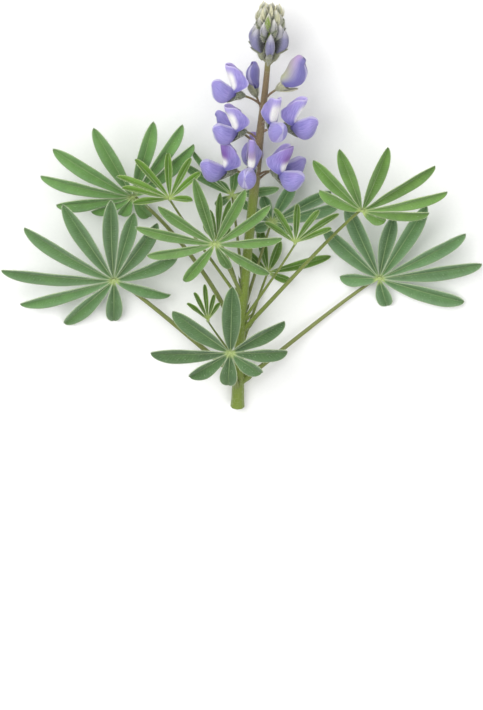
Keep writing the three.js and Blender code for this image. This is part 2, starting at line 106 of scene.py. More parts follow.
# Buds: length, greatest half thickness, lean away from the stem, and how far off its middle they sit.
# Where there are two values, they run from the lowest bud to the highest.
LARGE_BUDS = dict(length=10.8, thick=2.85, lean=14, seat=3.5)
# Height on the stem and turn round it.
LARGE_BUD_SEATS = [(156, 4), (157.2, 63), (156, 115), (157.4, 163), (156, 209), (157.4, 252), (157.2, 300)]
SMALL_BUDS = dict(
    count=20, at=(161, 171.7), length=(8.4, 5.6), lean=(17, 12), seat=(2.7, 2.1), thick=(2.4, 1.5),
)
CROWN_BUDS = dict(count=3, at=172.4, length=4.6, lean=5, seat=0.8, thick=1.15)
FIRST_SMALL_TURN = 140
GOLDEN_ANGLE = 137.508
FRESHEST_BUD = 12  # the one in the middle of the head that is still bright green
# Share of the length, share of the half thickness, outward bow.
BUD_STATIONS = [[0, 0.42, 0], [0.3, 0.96, 0.07], [0.68, 0.9, 0.07], [1, 0.16, -0.02]]
BUD_NARROWING = 0.66  # a bud is flattened from side to side

# Leaves: height where the stalk leaves the stem, hub, widest leaflet, tilt of the blade, cup and arch,
# which are how far the leaflets rise and how far they bend down again, age (0 fresh green, 1 old
# blue-green), and the leaflets as (angle in the blade's plane, length). Some also have bow, the stalk's
# sideways bend; roll of the blade; bright, how much lighter the whole leaf is; upward_shade, how much
# painted shade darkens the leaflets that point up the stem; and down, how closely down covers it, which
# otherwise follows from its age.
LEAVES = {
    "left_low": dict(
        at=13, hub=(-50.4, 56.4, 10), width=7.2, tilt=26, cup=8, arch=0.1, age=0.72, upward_shade=0.5,
        leaflets=[(170, 46), (140, 48), (113, 50), (93, 48), (79, 41), (62, 38),
                  (31, 30), (-16, 24), (-90, 23), (-132, 31), (-163, 40)],
    ),
    "left_high": dict(
        at=28, bow=-5, hub=(-42.8, 91.6, 9.5), width=6.8, tilt=26, roll=8, cup=6, arch=0.1, age=0.55,
        bright=1.05,
        leaflets=[(157, 41), (135, 45), (110, 45), (79, 42), (61, 43), (46, 36),
                  (-62, 14), (-115, 11), (-158, 18), (179, 31)],
    ),
    "left_young": dict(
        at=46, hub=(-28, 96.7, 26), width=3.6, tilt=-44, cup=30, arch=0.08, age=0.05, bright=0.95,
        leaflets=[(180, 22), (167, 25), (137, 22), (94, 19), (58, 19), (34, 17), (-18, 11), (-158, 18)],
    ),
    "front_high": dict(
        at=49, hub=(-10, 78.3, 28), width=4.8, tilt=20, cup=6, arch=0.1, age=0.35,
        leaflets=[(164, 33), (139, 30), (103, 35), (68, 31), (41, 30), (7, 27),
                  (-34, 27), (-62, 14), (-124, 23), (-168, 28)],
    ),
    "front_low": dict(
        at=7, hub=(-3.9, 30.7, 24), width=7.6, tilt=24, cup=6, arch=0.08, age=0.72, bright=-0.9, down=0.35,
        leaflets=[(180, 32), (133, 33), (89, 37), (41, 28), (1, 23), (-42, 17), (-94, 18), (-142, 21)],
    ),
    "left_bud": dict(
        at=19, hub=(-12.8, 41.9, 17), width=2.6, tilt=-50, cup=40, arch=0.05, age=0.0,
        leaflets=[(158, 12), (125, 13), (98, 15), (72, 11), (44, 9)],
    ),
    "right_young": dict(
        at=37, hub=(22, 76.9, 23), width=3.2, tilt=-48, cup=36, arch=0.05, age=0.08,
        leaflets=[(161, 16), (129, 17), (84, 16), (46, 17), (22, 23), (4, 18)],
    ),
    "right_low": dict(
        at=10, hub=(55.8, 55.2, 4.8), width=7.2, tilt=18, cup=8, arch=0.1, age=0.8, upward_shade=0.5,
        leaflets=[(174, 16), (129, 35), (109, 41), (84, 33), (64, 43), (33, 42),
                  (13, 42), (-18, 36), (-79, 14)],
    ),
    "right_high": dict(
        at=33, hub=(48.6, 91.8, 26.5), width=6.2, tilt=24, cup=8, arch=0.1, age=0.25, bright=0.25,
        leaflets=[(144, 21), (124, 35), (103, 37), (74, 38), (45, 39), (16, 36), (-2, 27), (-30, 11)],
    ),
    "back_right": dict(
        at=40, hub=(12.8, 80.4, 8), width=6, tilt=4, cup=3, arch=0.05, age=0.85,
        leaflets=[(30, 27), (14, 28), (65, 19), (108, 12), (148, 10), (-162, 8), (-25, 9)],
    ),
    "back_low": dict(
        at=24, hub=(11.2, 57.8, 4.6), width=4.2, tilt=-8, cup=2, arch=0.02, age=0.12,
        leaflets=[(102, 21), (69, 14), (13, 26), (-22, 10), (166, 7), (137, 13)],
    ),
    "behind_front": dict(
        at=35, bow=-3, hub=(-8.8, 74.2, 12), width=3.2, tilt=4, cup=14, arch=0.06, age=0.15,
        leaflets=[(89, 23), (77, 20), (102, 15), (128, 10), (52, 8)],
    ),
    "back_high": dict(
        at=52, hub=(-3.2, 93.3, 12), width=4, tilt=3, cup=3, arch=0.04, age=0.6,
        leaflets=[(130, 25), (145, 24), (82, 12), (127, 8), (8, 19), (-37, 10), (-148, 8)],
    ),
}
YOUNG_SLOT = ("left_young", "front_high", "left_bud", "right_young", "behind_front", "back_high")
BLADE_FOLD = 0.44  # rise of a leaflet's halves from its rib, per millimetre aside
WIDEST_SECTOR = 60  # a leaflet takes no more than this to either side
SECTOR_SHARE = 0.95  # the rest is the gap to the next leaflet

# The view: the photograph's frame, what one of its pixels spans at the plant, and how the camera looks
# down.
PHOTO_HEIGHT = 710  # pixels
PIXEL_SPAN = 0.4
VIEW_CENTRE = (0.6, 26.3, 15)
VIEW_ELEVATION = 20  # above square to the stem
VIEW_DISTANCE = 9  # metres: a long lens, as the spike was measured without perspective


# ---- Shapes ----

def unit(vectors):
    """Vectors at length one."""
    return vectors / np.linalg.norm(vectors, axis=-1, keepdims=True)


def step(value, low, high):
    """0 below low, 1 above high, and a smooth S between them: 3t^2 - 2t^3."""
    t = np.clip((value - low) / (high - low), 0, 1)
    return t * t * (3 - 2 * t)


def rounded(value, start, span):
    """1 up to the start, then a quarter of a circle down to 0 over the span: sqrt(1 - t^2)."""
    return np.sqrt(np.clip(1 - np.clip((value - start) / span, 0, 1) ** 2, 0, 1))


def through(stations, where):
    """A smooth curve through stations: a cubic between each pair, with the slopes that each station's
    neighbours give it. The first column is the place and the others are the values."""
    table = np.asarray(stations, float)
    place, values = table[:, 0], table[:, 1:]
    slopes = np.gradient(values, place, axis=0)
    where = np.asarray(where, float)
    i = np.clip(np.searchsorted(place, where) - 1, 0, len(place) - 2)
    gap = (place[i + 1] - place[i])[..., None]
    t = (where[..., None] - place[i][..., None]) / gap
    start = (1 + 2 * t) * (1 - t) ** 2 * values[i] + t * (1 - t) ** 2 * gap * slopes[i]
    end = t * t * (3 - 2 * t) * values[i + 1] + t * t * (t - 1) * gap * slopes[i + 1]
    return np.moveaxis(start + end, -1, 0)


def settle(points):
    """The plant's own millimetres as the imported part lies, in metres, and clear of the surface."""
    about_x, about_y = LAID_TURN
    x, y, z = np.moveaxis(np.asarray(points, float), -1, 0)
    x, z = x * math.cos(about_y) + z * math.sin(about_y), z * math.cos(about_y) - x * math.sin(about_y)
    y, z = y * math.cos(about_x) - z * math.sin(about_x), z * math.cos(about_x) + y * math.sin(about_x)
    laid = np.stack([x, y, z], -1) + LAID_SHIFT
    laid[..., 2] = np.maximum(laid[..., 2], SURFACE_CLEARANCE)
    return laid * METRE


def turns(count):
    """Angles once round, in equal steps."""
    return np.linspace(0, 2 * np.pi, count, endpoint=False)


def ovals(centres, across, outward, half_across, half_outward, angles):
    """Rings of points: centre + across * a cos + outward * b sin, one ring for each centre."""
    cos, sin = np.cos(angles)[None, :, None], np.sin(angles)[None, :, None]
    across, outward = (np.broadcast_to(each, centres.shape)[:, None] for each in (across, outward))
    a, b = np.asarray(half_across, float), np.asarray(half_outward, float)
    a = a[:, None, None] if a.ndim == 1 else a[..., None]
    b = b[:, None, None] if b.ndim == 1 else b[..., None]
    return centres[:, None] + across * a * cos + outward * b * sin


FIXED_SIDE = np.array([0.31, 0.17, 0.93])  # a direction along which no stalk runs


def tube(path, radii, sides):
    """Rings along a path: each ring is square to the path, and one fixed side keeps them from twisting."""
    along = unit(np.gradient(path, axis=0))
    side = unit(np.cross(along, FIXED_SIDE))
    front = np.cross(along, side)
    return ovals(path, side, front, radii, radii, turns(sides))


def both_faces(values):
    """Values over a sheet's front and then, the other way about, over its back: once round the sheet's
    section."""
    return np.concatenate([values, values[:, ::-1]], 1)


def bezier(points, shares):
    """A cubic Bezier curve: its four points weighed by (1-t)^3, 3t(1-t)^2, 3t^2(1-t) and t^3."""
    t = shares[:, None]
    a, b, c, d = (np.asarray(p, float) for p in points)
    return (1 - t) ** 3 * a + 3 * t * (1 - t) ** 2 * b + 3 * t * t * (1 - t) * c + t ** 3 * d


def catmull_rom(points, shares):
    """A centripetal Catmull-Rom curve through points, at even shares of the number of stretches: the knots
    are spaced by the square root of the distance between points."""
    points = np.asarray(points, float)
    ends = np.vstack([2 * points[0] - points[1], points, 2 * points[-1] - points[-2]])
    place = np.asarray(shares) * (len(points) - 1)
    i = np.clip(place.astype(int), 0, len(points) - 2)
    t = (place - i)[:, None]
    p0, p1, p2, p3 = (ends[i + n] for n in range(4))
    d0, d1, d2 = (np.sqrt(np.linalg.norm(b - a, axis=1))[:, None] for a, b in ((p0, p1), (p1, p2), (p2, p3)))
    leave = ((p1 - p0) / d0 - (p2 - p0) / (d0 + d1) + (p2 - p1) / d1) * d1
    arrive = ((p2 - p1) / d1 - (p3 - p1) / (d1 + d2) + (p3 - p2) / d2) * d1
    start = (1 + 2 * t) * (1 - t) ** 2 * p1 + t * (1 - t) ** 2 * leave
    return start + t * t * (3 - 2 * t) * p2 + t * t * (t - 1) * arrive


class Skins:
    """Closed skins gathered into one mesh, with marks at each point that the material reads by name."""

    def __init__(self):
        self.points = []
        self.faces = []
        self.marks = []
        self.count = 0

    def add(self, rings, **marks):
        """Adds one skin through rings of points, an array of steps x points round x 3. Both ends are closed
        like a ladder, from side to side of the ring, and the skin is turned to face outwards."""
        steps, around = rings.shape[:2]
        i, j = np.meshgrid(np.arange(steps - 1), np.arange(around), indexing="ij")
        a = i * around + j
        b = i * around + (j + 1) % around
        sides = np.stack([a, b, b + around, a + around], -1).reshape(-1, 4)
        k = np.arange(around // 2 - 1)
        foot = np.stack([k, around - 1 - k, around - 2 - k, k + 1], -1)
        head = np.stack([k, k + 1, around - 2 - k, around - 1 - k], -1) + (steps - 1) * around
        faces = np.vstack([sides, foot, head])
        flat = rings.reshape(-1, 3)
        middle = flat - flat.mean(0)
        corner = [middle[faces[:, n]] for n in range(4)]
        volume = np.einsum("ij,ij->", corner[0], np.cross(corner[1], corner[2]))
        volume += np.einsum("ij,ij->", corner[0], np.cross(corner[2], corner[3]))
        if volume < 0:
            faces = faces[:, ::-1]
        self.points.append(flat)
        self.faces.append(faces + self.count)
        size = (steps, around)
        self.marks.append({name: np.broadcast_to(mark, size).ravel() for name, mark in marks.items()})
        self.count += len(flat)

    def build(self, name, material, slot, *nodes):
        """Makes the piece, standing for those nodes of the part."""
        make_piece(name, self.points, self.faces, self.marks, material, nodes)


def make_piece(name, points, faces, marks, material, nodes):
    """One mesh object from arrays of points, faces and marks, on the plant's one body."""
    mesh = bpy.data.meshes.new(name)
    mesh.from_pydata(settle(np.concatenate(points)), [], np.concatenate(faces))
    for mark in sorted({n for each in marks for n in each}):
        values = [each.get(mark, np.zeros(len(p))) for each, p in zip(marks, points)]
        attribute = mesh.attributes.new(mark, "FLOAT", "POINT")
        attribute.data.foreach_set("value", np.concatenate(values).astype(np.float32))
    mesh.shade_smooth()
    mesh.materials.append(material)
    piece = bpy.data.objects.new(name, mesh)
    bpy.context.scene.collection.objects.link(piece)
    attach(piece, "root")
    if nodes:
        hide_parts(*nodes)


HAIR_SIDE = np.array([0.41, 0.52, 0.75])  # sets which way a hair's foot is turned
HAIR_SUNK = 0.06  # share of its length by which a hair's foot lies under the skin


class Hairs:
    """Fine tapering hairs gathered into one mesh: each is a three-sided spike."""

    def __init__(self, seed):
        self.random = np.random.default_rng(seed)
        self.roots = []
        self.spans = []
        self.widths = []

    def add(self, rings, count, length, lean, width, columns=None, stretch=(0.0, 1.0), spread=0.35):
        """Roots hairs at random on a skin, evenly over its area: each points along the skin's outward side,
        leant towards the next ring by lean and scattered by spread. columns keeps them to some of the
        ring's points, and stretch to a share of the rings."""
        steps, around = rings.shape[:2]
        ahead = np.gradient(rings, axis=0)
        aside = (np.roll(rings, -1, axis=1) - np.roll(rings, 1, axis=1)) / 2
        out = np.cross(aside, ahead)
        middle = rings.mean(1, keepdims=True)
        sign = np.sign(np.sum(out * (rings - middle), axis=(-2, -1)))[:, None, None]
        area = np.linalg.norm(out, axis=-1)
        if columns is not None:
            kept = np.zeros(around, bool)
            kept[list(columns)] = True
            area = np.where(kept, np.linalg.norm(ahead, axis=-1), 0)
        share = np.linspace(0, 1, steps)
        area = area * ((share >= stretch[0]) & (share <= stretch[1]))[:, None]
        pick = self.random.choice(area.size, size=count, p=area.ravel() / area.sum())
        i, j = np.unravel_index(pick, area.shape)
        slide = self.random.uniform(-0.5, 0.5, (count, 2, 1))
        across = 0 if columns is not None else slide[:, 1] * aside[i, j]
        root = rings[i, j] + slide[:, 0] * ahead[i, j] + across
        normal = unit((out * sign)[i, j] + 1e-9)
        toward = unit(ahead[i, j] + 1e-9)
        scatter = self.random.normal(0, spread, (count, 3))
        size = length * self.random.uniform(0.6, 1.15, (count, 1))
        self.roots.append(root)
        self.spans.append(unit(normal + toward * lean + scatter) * size)
        self.widths.append(np.full(count, width))

    def build(self, name, material, slot, *nodes):
        """Makes the piece. A hair's foot is a triangle, sunk a little into the skin, whose corners lie at
        its width from the root, and its tip is one point at its span."""
        root, span = np.concatenate(self.roots), np.concatenate(self.spans)
        width = np.concatenate(self.widths)[:, None]
        side = unit(np.cross(span, HAIR_SIDE))
        front = unit(np.cross(span, side))
        foot = root - HAIR_SUNK * span
        corners = [foot + (side * math.cos(a) + front * math.sin(a)) * width for a in turns(3)]
        points = np.stack(corners + [root + span], 1)
        base = 4 * np.arange(len(root))[:, None, None]
        faces = np.array([[0, 1, 3], [1, 2, 3], [2, 0, 3], [2, 1, 0]])[None] + base
        faces = faces.reshape(-1, 3)
        a, b, c = (points[:, n] for n in (0, 1, 2))
        facing = np.einsum("ij,ij->i", np.cross(b - a, c - a), span)
        flip = np.repeat(facing < 0, 4)
        faces[flip] = faces[flip][:, ::-1]
        make_piece(name, [points.reshape(-1, 3)], [faces], [{}], material, nodes)


# ---- Finishes ----

SMOOTH = dict(interpolation_type="SMOOTHSTEP")
FALLING = {"To Min": 1.0, "To Max": 0.0}
RELIEF = 0.2 * METRE  # how far a finish's relief stands


def paint(hex_colour):
    """An sRGB hex value as linear RGBA."""
    parts = np.array([int(hex_colour[i : i + 2], 16) / 255 for i in (1, 3, 5)])
    linear = np.where(parts <= 0.04045, parts / 12.92, ((parts + 0.055) / 1.055) ** 2.4)
    return (*linear, 1.0)


def grain(size):
    """The scale of a pattern on Object coordinates, from its grain's width in millimetres."""
    return 1 / (size * METRE)


def plug(node, inputs):
    """Gives a node its inputs, by name or number: another node's output is linked, and a plain value is
    set."""
    for key, value in inputs.items():
        named = [socket for socket in node.inputs if socket.enabled and socket.name == key]
        socket = named[0] if named else node.inputs[key]
        if isinstance(value, bpy.types.NodeSocket):
            node.id_data.links.new(value, socket)
        else:
            socket.default_value = value


def add(tree, kind, inputs=None, out=None, **settings):
    """Adds a shader node with its settings and inputs, and returns one of its outputs: the one named, or
    the first."""
    node = tree.nodes.new("ShaderNode" + kind)
    for key, value in settings.items():
        setattr(node, key, value)
    plug(node, inputs or {})
    return next(s for s in node.outputs if s.enabled and (out is None or s.name == out))


def lay_coats(tree, colour, *coats):
    """Lays coats of colour one over the other. A coat is a tint and one or more shares, whose product is
    how far it covers."""
    for tint, cover, *factors in coats:
        for factor in factors:
            cover = add(tree, "Math", {0: cover, 1: factor}, operation="MULTIPLY")
        tint = paint(tint) if isinstance(tint, str) else tint
        colour = add(tree, "Mix", {"Factor": cover, "A": colour, "B": tint}, data_type="RGBA")
    return colour


def start_material(name):
    """A new material, its node tree and its shader."""
    material = bpy.data.materials.new(name)
    material.use_nodes = True
    tree = material.node_tree
    return material, tree, tree.nodes["Principled BSDF"]


def leaf_finish():
    """Lupin leaflet: a living leaf with a waxy, slightly silky skin. It is dull with a soft highlight, has
    a pale sunk rib, faint side veins and a pale hairy rim, and a greyer underside. Painted shade darkens it
    beside the rib, towards the hub and on the leaflets that point up the stem."""
    material, tree, shader = start_material("leaflet_skin")
    along, across, aside, edge, reach, top, tip, age, tone, down = (
        add(tree, "Attribute", out="Fac", attribute_name=mark)
        for mark in ("along", "across", "aside", "edge", "reach", "top", "tip", "age", "tone", "down")
    )
    place = add(tree, "TexCoord", out="Object")
    width, from_rib = (add(tree, "Math", {0: mark}, operation="ABSOLUTE") for mark in (across, aside))
    mottle = add(
        tree, "TexNoise", {"Vector": place, "Scale": grain(2.38), "Detail": 4.0, "Roughness": 0.65}, out="Fac"
    )
    cloud = add(tree, "TexNoise", {"Vector": place, "Scale": grain(8.33), "Detail": 2.0}, out="Fac")

    # Side veins leave the rib at a slant, one every 1.3 mm, and waver a little.
    slant = add(tree, "Math", {0: from_rib, 1: -0.8, 2: along}, operation="MULTIPLY_ADD")
    slant = add(tree, "Math", {0: cloud, 1: 3.0, 2: slant}, operation="MULTIPLY_ADD")
    wave = add(tree, "Math", {0: slant, 1: 2 * math.pi / 1.3}, operation="MULTIPLY")
    vein = add(tree, "Math", {0: wave}, operation="SINE")
    vein = add(tree, "Math", {0: vein, 1: 8.0}, operation="MULTIPLY")
    vein = add(tree, "MapRange", {"Value": vein, "From Min": 5.2, "From Max": 8.0}, **SMOOTH)

    # The rib, the rim and the hub, each from the distance over which it fades, in millimetres.
    rib, rim, hub = (
        add(tree, "MapRange", {"Value": mark, "From Min": near, "From Max": far, **FALLING}, **SMOOTH)
        for mark, near, far in ((from_rib, 0.06, 0.24), (edge, 0.08, 0.38), (along, 0.9, 3.2))
    )
    fading = add(tree, "MapRange", {"Value": reach, "From Min": 0.1, "To Min": 0.75, "To Max": 0.12})

    # The green: fresh or old, lighter and darker in places, and darker on young leaves. Painted shade darkens
    # each leaflet towards the hub, and a touch of painted light brightens it past its middle.
    fresh, old = (
        add(tree, "Mix", {"Factor": cloud, "A": paint(dark), "B": paint(pale)}, data_type="RGBA")
        for dark, pale in (("#486a16", "#6b9230"), ("#476a48", "#5d8453"))
    )
    green = add(tree, "Mix", {"Factor": age, "A": fresh, "B": old}, data_type="RGBA")
    shade = add(tree, "Math", {0: tone, 1: 0.34, 2: 0.54}, operation="MULTIPLY_ADD")
    shade = add(tree, "Math", {0: mottle, 1: 0.6, 2: shade}, operation="MULTIPLY_ADD")
    hub_shade = add(tree, "MapRange", {"Value": reach, "From Max": 0.5, "To Min": -0.14, "To Max": 0.04})
    shade = add(tree, "Math", {0: shade, 1: hub_shade}, operation="ADD")
    deep = add(tree, "MapRange", {"Value": age, "From Max": 0.25, "To Min": 0.74, "To Max": 1.0})
    shade = add(tree, "Math", {0: shade, 1: deep}, operation="MULTIPLY")
    upper = add(
        tree, "Mix", {"Factor": 1.0, "A": green, "B": shade}, data_type="RGBA", blend_type="MULTIPLY"
    )

    # Painted shade deepens the green beside the rib, in the crease of the fold. Down lies closer towards the
    # rim, and greys it.
    inner = add(tree, "MapRange", {"Value": width, "From Max": 0.6, "To Min": 0.17, "To Max": 0.0})
    downy = add(tree, "MapRange", {"Value": width, "From Min": 0.35, "To Max": 0.5}, **SMOOTH)
    upper = lay_coats(tree, upper, ("#86a56c", vein, 0.15), ("#2f5022", inner), ("#86a183", downy, down))
    under, pale_rim = (
        add(tree, "Mix", {"Factor": age, "A": paint(in_youth), "B": paint(in_age)}, data_type="RGBA")
        for in_youth, in_age in (("#7f9c62", "#7f9c7e"), ("#b2c47a", "#b3c5a4"))
    )
    colour = lay_coats(
        tree,
        under,
        (upper, top),
        ("#a5bd84", rib, fading),
        (pale_rim, rim, 0.85),
        ("#5d6b4e", tip, 0.6),
        ("#abbd74", hub, 0.9),
    )
    relief = add(tree, "Math", {0: vein, 1: 0.6, 2: mottle}, operation="MULTIPLY_ADD")
    bump = add(tree, "Bump", {"Strength": 0.35, "Distance": RELIEF, "Height": relief})
    plug(shader, {"Base Color": colour, "Normal": bump, "Roughness": 0.5, "Specular IOR Level": 0.4})
    plug(shader, {"Sheen Weight": 0.12, "Sheen Roughness": 0.5})
    return material


def stem_finish():
    """Lupin stem and stalks: green herb skin with fine lengthwise ridges, yellow-olive below, brown among
    the flowers, green again under the head. Leaf stalks are a lighter olive, and the cut shows pale
    pith."""
    material, tree, shader = start_material("herb_stem_skin")
    height, across, brown, light, pith = (
        add(tree, "Attribute", out="Fac", attribute_name=mark)
        for mark in ("height", "across", "brown", "light", "pith")
    )
    # The ridges are about 0.2 mm wide and 4 mm long.
    lengthwise = add(tree, "Math", {0: height, 1: 0.12}, operation="MULTIPLY")
    around = add(tree, "Math", {0: across, 1: 9.0}, operation="MULTIPLY")
    ridge = add(tree, "CombineXYZ", {"X": lengthwise, "Y": around})
    ridge = add(tree, "TexNoise", {"Vector": ridge, "Scale": 2.2, "Detail": 4.0, "Roughness": 0.6}, out="Fac")
    place = add(tree, "TexCoord", out="Object")
    speck = add(tree, "TexNoise", {"Vector": place, "Scale": grain(1.43), "Detail": 2.0}, out="Fac")
    green, tan, olive = (
        add(tree, "Mix", {"Factor": ridge, "A": paint(dark), "B": paint(pale)}, data_type="RGBA")
        for dark, pale in (("#5c7120", "#84963c"), ("#604b38", "#846d53"), ("#5a6230", "#8b9358"))
    )
    colour = lay_coats(tree, green, (tan, brown), (olive, light), ("#cdd8a4", pith))
    relief = add(tree, "Math", {0: speck, 1: 0.35, 2: ridge}, operation="MULTIPLY_ADD")
    bump = add(tree, "Bump", {"Strength": 0.5, "Distance": RELIEF, "Height": relief})
    plug(shader, {"Base Color": colour, "Normal": bump, "Roughness": 0.55, "Sheen Weight": 0.15})
    return material


def petal_finish(name, markings=None):
    """Lupin petal: a thin, soft petal with fine branching veins along it. It is matt with a silky sheen,
    dark at its foot and palest at its rim; on the wings the pale rim along the seam of the pair is partly a
    painted highlight. A banner has markings as well."""
    material, tree, shader = start_material(name)
    along, across, rim = (
        add(tree, "Attribute", out="Fac", attribute_name=mark) for mark in ("along", "across", "rim")
    )
    # The veins lie about 0.35 mm apart at a banner's widest.
    lengthwise = add(tree, "Math", {0: along, 1: 1.1}, operation="MULTIPLY")
    fan = add(tree, "Math", {0: across, 1: 7.0}, operation="MULTIPLY")
    vein = add(tree, "CombineXYZ", {"X": lengthwise, "Y": fan})
    vein = add(tree, "TexNoise", {"Vector": vein, "Scale": 3.6, "Detail": 5.0, "Roughness": 0.62}, out="Fac")
    vein = add(tree, "MapRange", {"Value": vein, "From Min": 0.36, "From Max": 0.64}, **SMOOTH)
    place = add(tree, "TexCoord", out="Object")
    cloud = add(tree, "TexNoise", {"Vector": place, "Scale": grain(4.55), "Detail": 2.0}, out="Fac")
    warm = add(tree, "MapRange", {"Value": cloud, "From Min": 0.35, "From Max": 0.75})
    foot = add(
        tree,
        "MapRange",
        {"Value": along, "From Min": 0.05, "From Max": 0.34, "To Min": 0.75, "To Max": 0.0},
        **SMOOTH,
    )
    violet = add(
        tree, "Mix", {"Factor": vein, "A": paint("#7b73b4"), "B": paint("#9f99d1")}, data_type="RGBA"
    )
    colour = lay_coats(tree, violet, ("#a590cc", warm, 0.35), ("#5f5aa2", foot), ("#cfcae6", rim, 0.75))
    if markings:
        colour = markings(tree, colour, along, across)
    bump = add(tree, "Bump", {"Strength": 0.4, "Distance": RELIEF, "Height": vein})
    plug(shader, {"Base Color": colour, "Normal": bump, "Roughness": 0.6, "Specular IOR Level": 0.3})
    plug(shader, {"Sheen Weight": 0.2, "Sheen Roughness": 0.4})
    plug(shader, {"Subsurface Weight": 0.3, "Subsurface Radius": (0.9, 0.7, 1.0)})
    plug(shader, {"Subsurface Scale": 1.2 * METRE})
    return material


def banner_markings(tree, colour, along, across):
    """What only a banner shows. An open one has a paler crown, painted light on its shaded back face for the
    light that shines through the petal, and up its middle a white spot with fine dark dots. The spot's upper
    part turns magenta with age. A hood has dull flanks, and some have a creamy ridge."""
    front, blush, spot, bud, creamy = (
        add(tree, "Attribute", out="Fac", attribute_name=mark)
        for mark in ("front", "blush", "spot", "bud", "cream")
    )
    back, opened = (add(tree, "Math", {0: 1.0, 1: mark}, operation="SUBTRACT") for mark in (front, bud))
    side = add(tree, "Math", {0: across}, operation="ABSOLUTE")
    from_spot = add(tree, "Math", {0: side, 1: spot}, operation="SUBTRACT")
    narrow, high, ridge = (
        add(tree, "MapRange", {"Value": mark, "From Min": near, "From Max": far, **FALLING}, **SMOOTH)
        for mark, near, far in ((from_spot, 0.16, 0.4), (along, 0.55, 0.9), (side, 0.22, 0.74))
    )
    low = add(tree, "MapRange", {"Value": along, "From Min": 0.04, "From Max": 0.2}, **SMOOTH)
    crown = add(tree, "MapRange", {"Value": along, "From Min": 0.55, "From Max": 1.05, "To Max": 0.5})
    flank = add(tree, "MapRange", {"Value": side, "From Min": 0.1, "From Max": 0.7, "To Max": 0.75})
    wash = add(
        tree,
        "MapRange",
        {"Value": side, "From Min": 0.3, "From Max": 0.75, "To Min": 0.7, "To Max": 0.0},
        **SMOOTH,
    )
    turned = add(tree, "MapRange", {"Value": along, "From Min": 0.3, "From Max": 0.6}, **SMOOTH)
    turned = add(tree, "Math", {0: turned, 1: blush}, operation="MULTIPLY")

    # The dots lie about 0.5 mm apart.
    up = add(tree, "Math", {0: along, 1: 26.0}, operation="MULTIPLY")
    over = add(tree, "Math", {0: across, 1: 15.0}, operation="MULTIPLY")
    dots = add(tree, "CombineXYZ", {"X": up, "Y": over})
    dots = add(tree, "TexVoronoi", {"Vector": dots, "Scale": 1.0}, out="Distance")
    dots = add(
        tree, "MapRange", {"Value": dots, "From Min": 0.16, "From Max": 0.3, "To Min": 0.5, "To Max": 0.0}
    )
    white = add(tree, "Mix", {"Factor": dots, "A": paint("#f1efe9"), "B": paint("#9a97a8")}, data_type="RGBA")
    white = lay_coats(tree, white, ("#784a94", turned))
    pinker = add(tree, "MapRange", {"Value": along, "From Min": 0.25, "From Max": 0.75})
    cream = add(
        tree, "Mix", {"Factor": pinker, "A": paint("#b6b996"), "B": paint("#b49cc4")}, data_type="RGBA"
    )
    return lay_coats(
        tree,
        colour,
        ("#bcaee0", crown),
        # Painted light on an open banner's back face, standing in for light through the petal.
        ("#cbc0ee", back, opened, 0.6),
        (white, narrow, low, high, front, opened),
        ("#7d5aa6", wash, blush, turned),
        ("#67649c", flank, bud),
        (cream, ridge, creamy, 0.9),
    )


def bud_finish():
    """Lupin bud: a folded petal under close silky hair, dull and slightly grey, paler to its tip, with
    painted shade in the slit that faces outwards and on the flanks that face its neighbours. Young buds are
    still green at the foot and cream at the tip."""
    material, tree, shader = start_material("silky_bud_petal")
    along, across, slit, young, leafy = (
        add(tree, "Attribute", out="Fac", attribute_name=mark)
        for mark in ("along", "across", "slit", "young", "leafy")
    )
    # The silk lies in strands about 0.4 mm wide and 3 mm long.
    lengthwise = add(tree, "Math", {0: along, 1: 1.4}, operation="MULTIPLY")
    around = add(tree, "Math", {0: across, 1: 8.0}, operation="MULTIPLY")
    silk = add(tree, "CombineXYZ", {"X": lengthwise, "Y": around})
    silk = add(tree, "TexNoise", {"Vector": silk, "Scale": 2.4, "Detail": 5.0, "Roughness": 0.65}, out="Fac")
    ripe, grey = (
        add(tree, "Mix", {"Factor": silk, "A": paint(dark), "B": paint(pale)}, data_type="RGBA")
        for dark, pale in (("#5d5b81", "#8684a4"), ("#7f7d8e", "#a4a2aa"))
    )
    tip = add(tree, "MapRange", {"Value": along, "From Min": 0.66, "From Max": 0.97}, **SMOOTH)
    pale_tip = add(tree, "Math", {0: young, 1: 0.25, 2: 0.5}, operation="MULTIPLY_ADD")
    foot = add(tree, "MapRange", {"Value": along, "From Min": 0.12, "From Max": 0.5, **FALLING}, **SMOOTH)
    # Painted shade on the flanks that face the neighbouring buds, deepest towards the foot.
    side = add(tree, "Math", {0: across}, operation="ABSOLUTE")
    flank = add(tree, "MapRange", {"Value": side, "From Min": 0.3, "From Max": 0.56}, **SMOOTH)
    low = add(
        tree, "MapRange", {"Value": along, "From Min": 0.55, "From Max": 1.0, "To Min": 0.92, "To Max": 0.0}
    )
    colour = lay_coats(
        tree,
        ripe,
        (grey, young),
        ("#7f8b58", foot, young),
        ("#abae80", leafy),
        ("#d6d4cf", tip, pale_tip),
        # Painted shade along the slit.
        ("#3f3d66", slit, 0.6),
        ("#3d4038", flank, low),
    )
    bump = add(tree, "Bump", {"Strength": 0.4, "Distance": RELIEF, "Height": silk})
    plug(shader, {"Base Color": colour, "Normal": bump, "Roughness": 0.6, "Sheen Weight": 0.3})
    return material


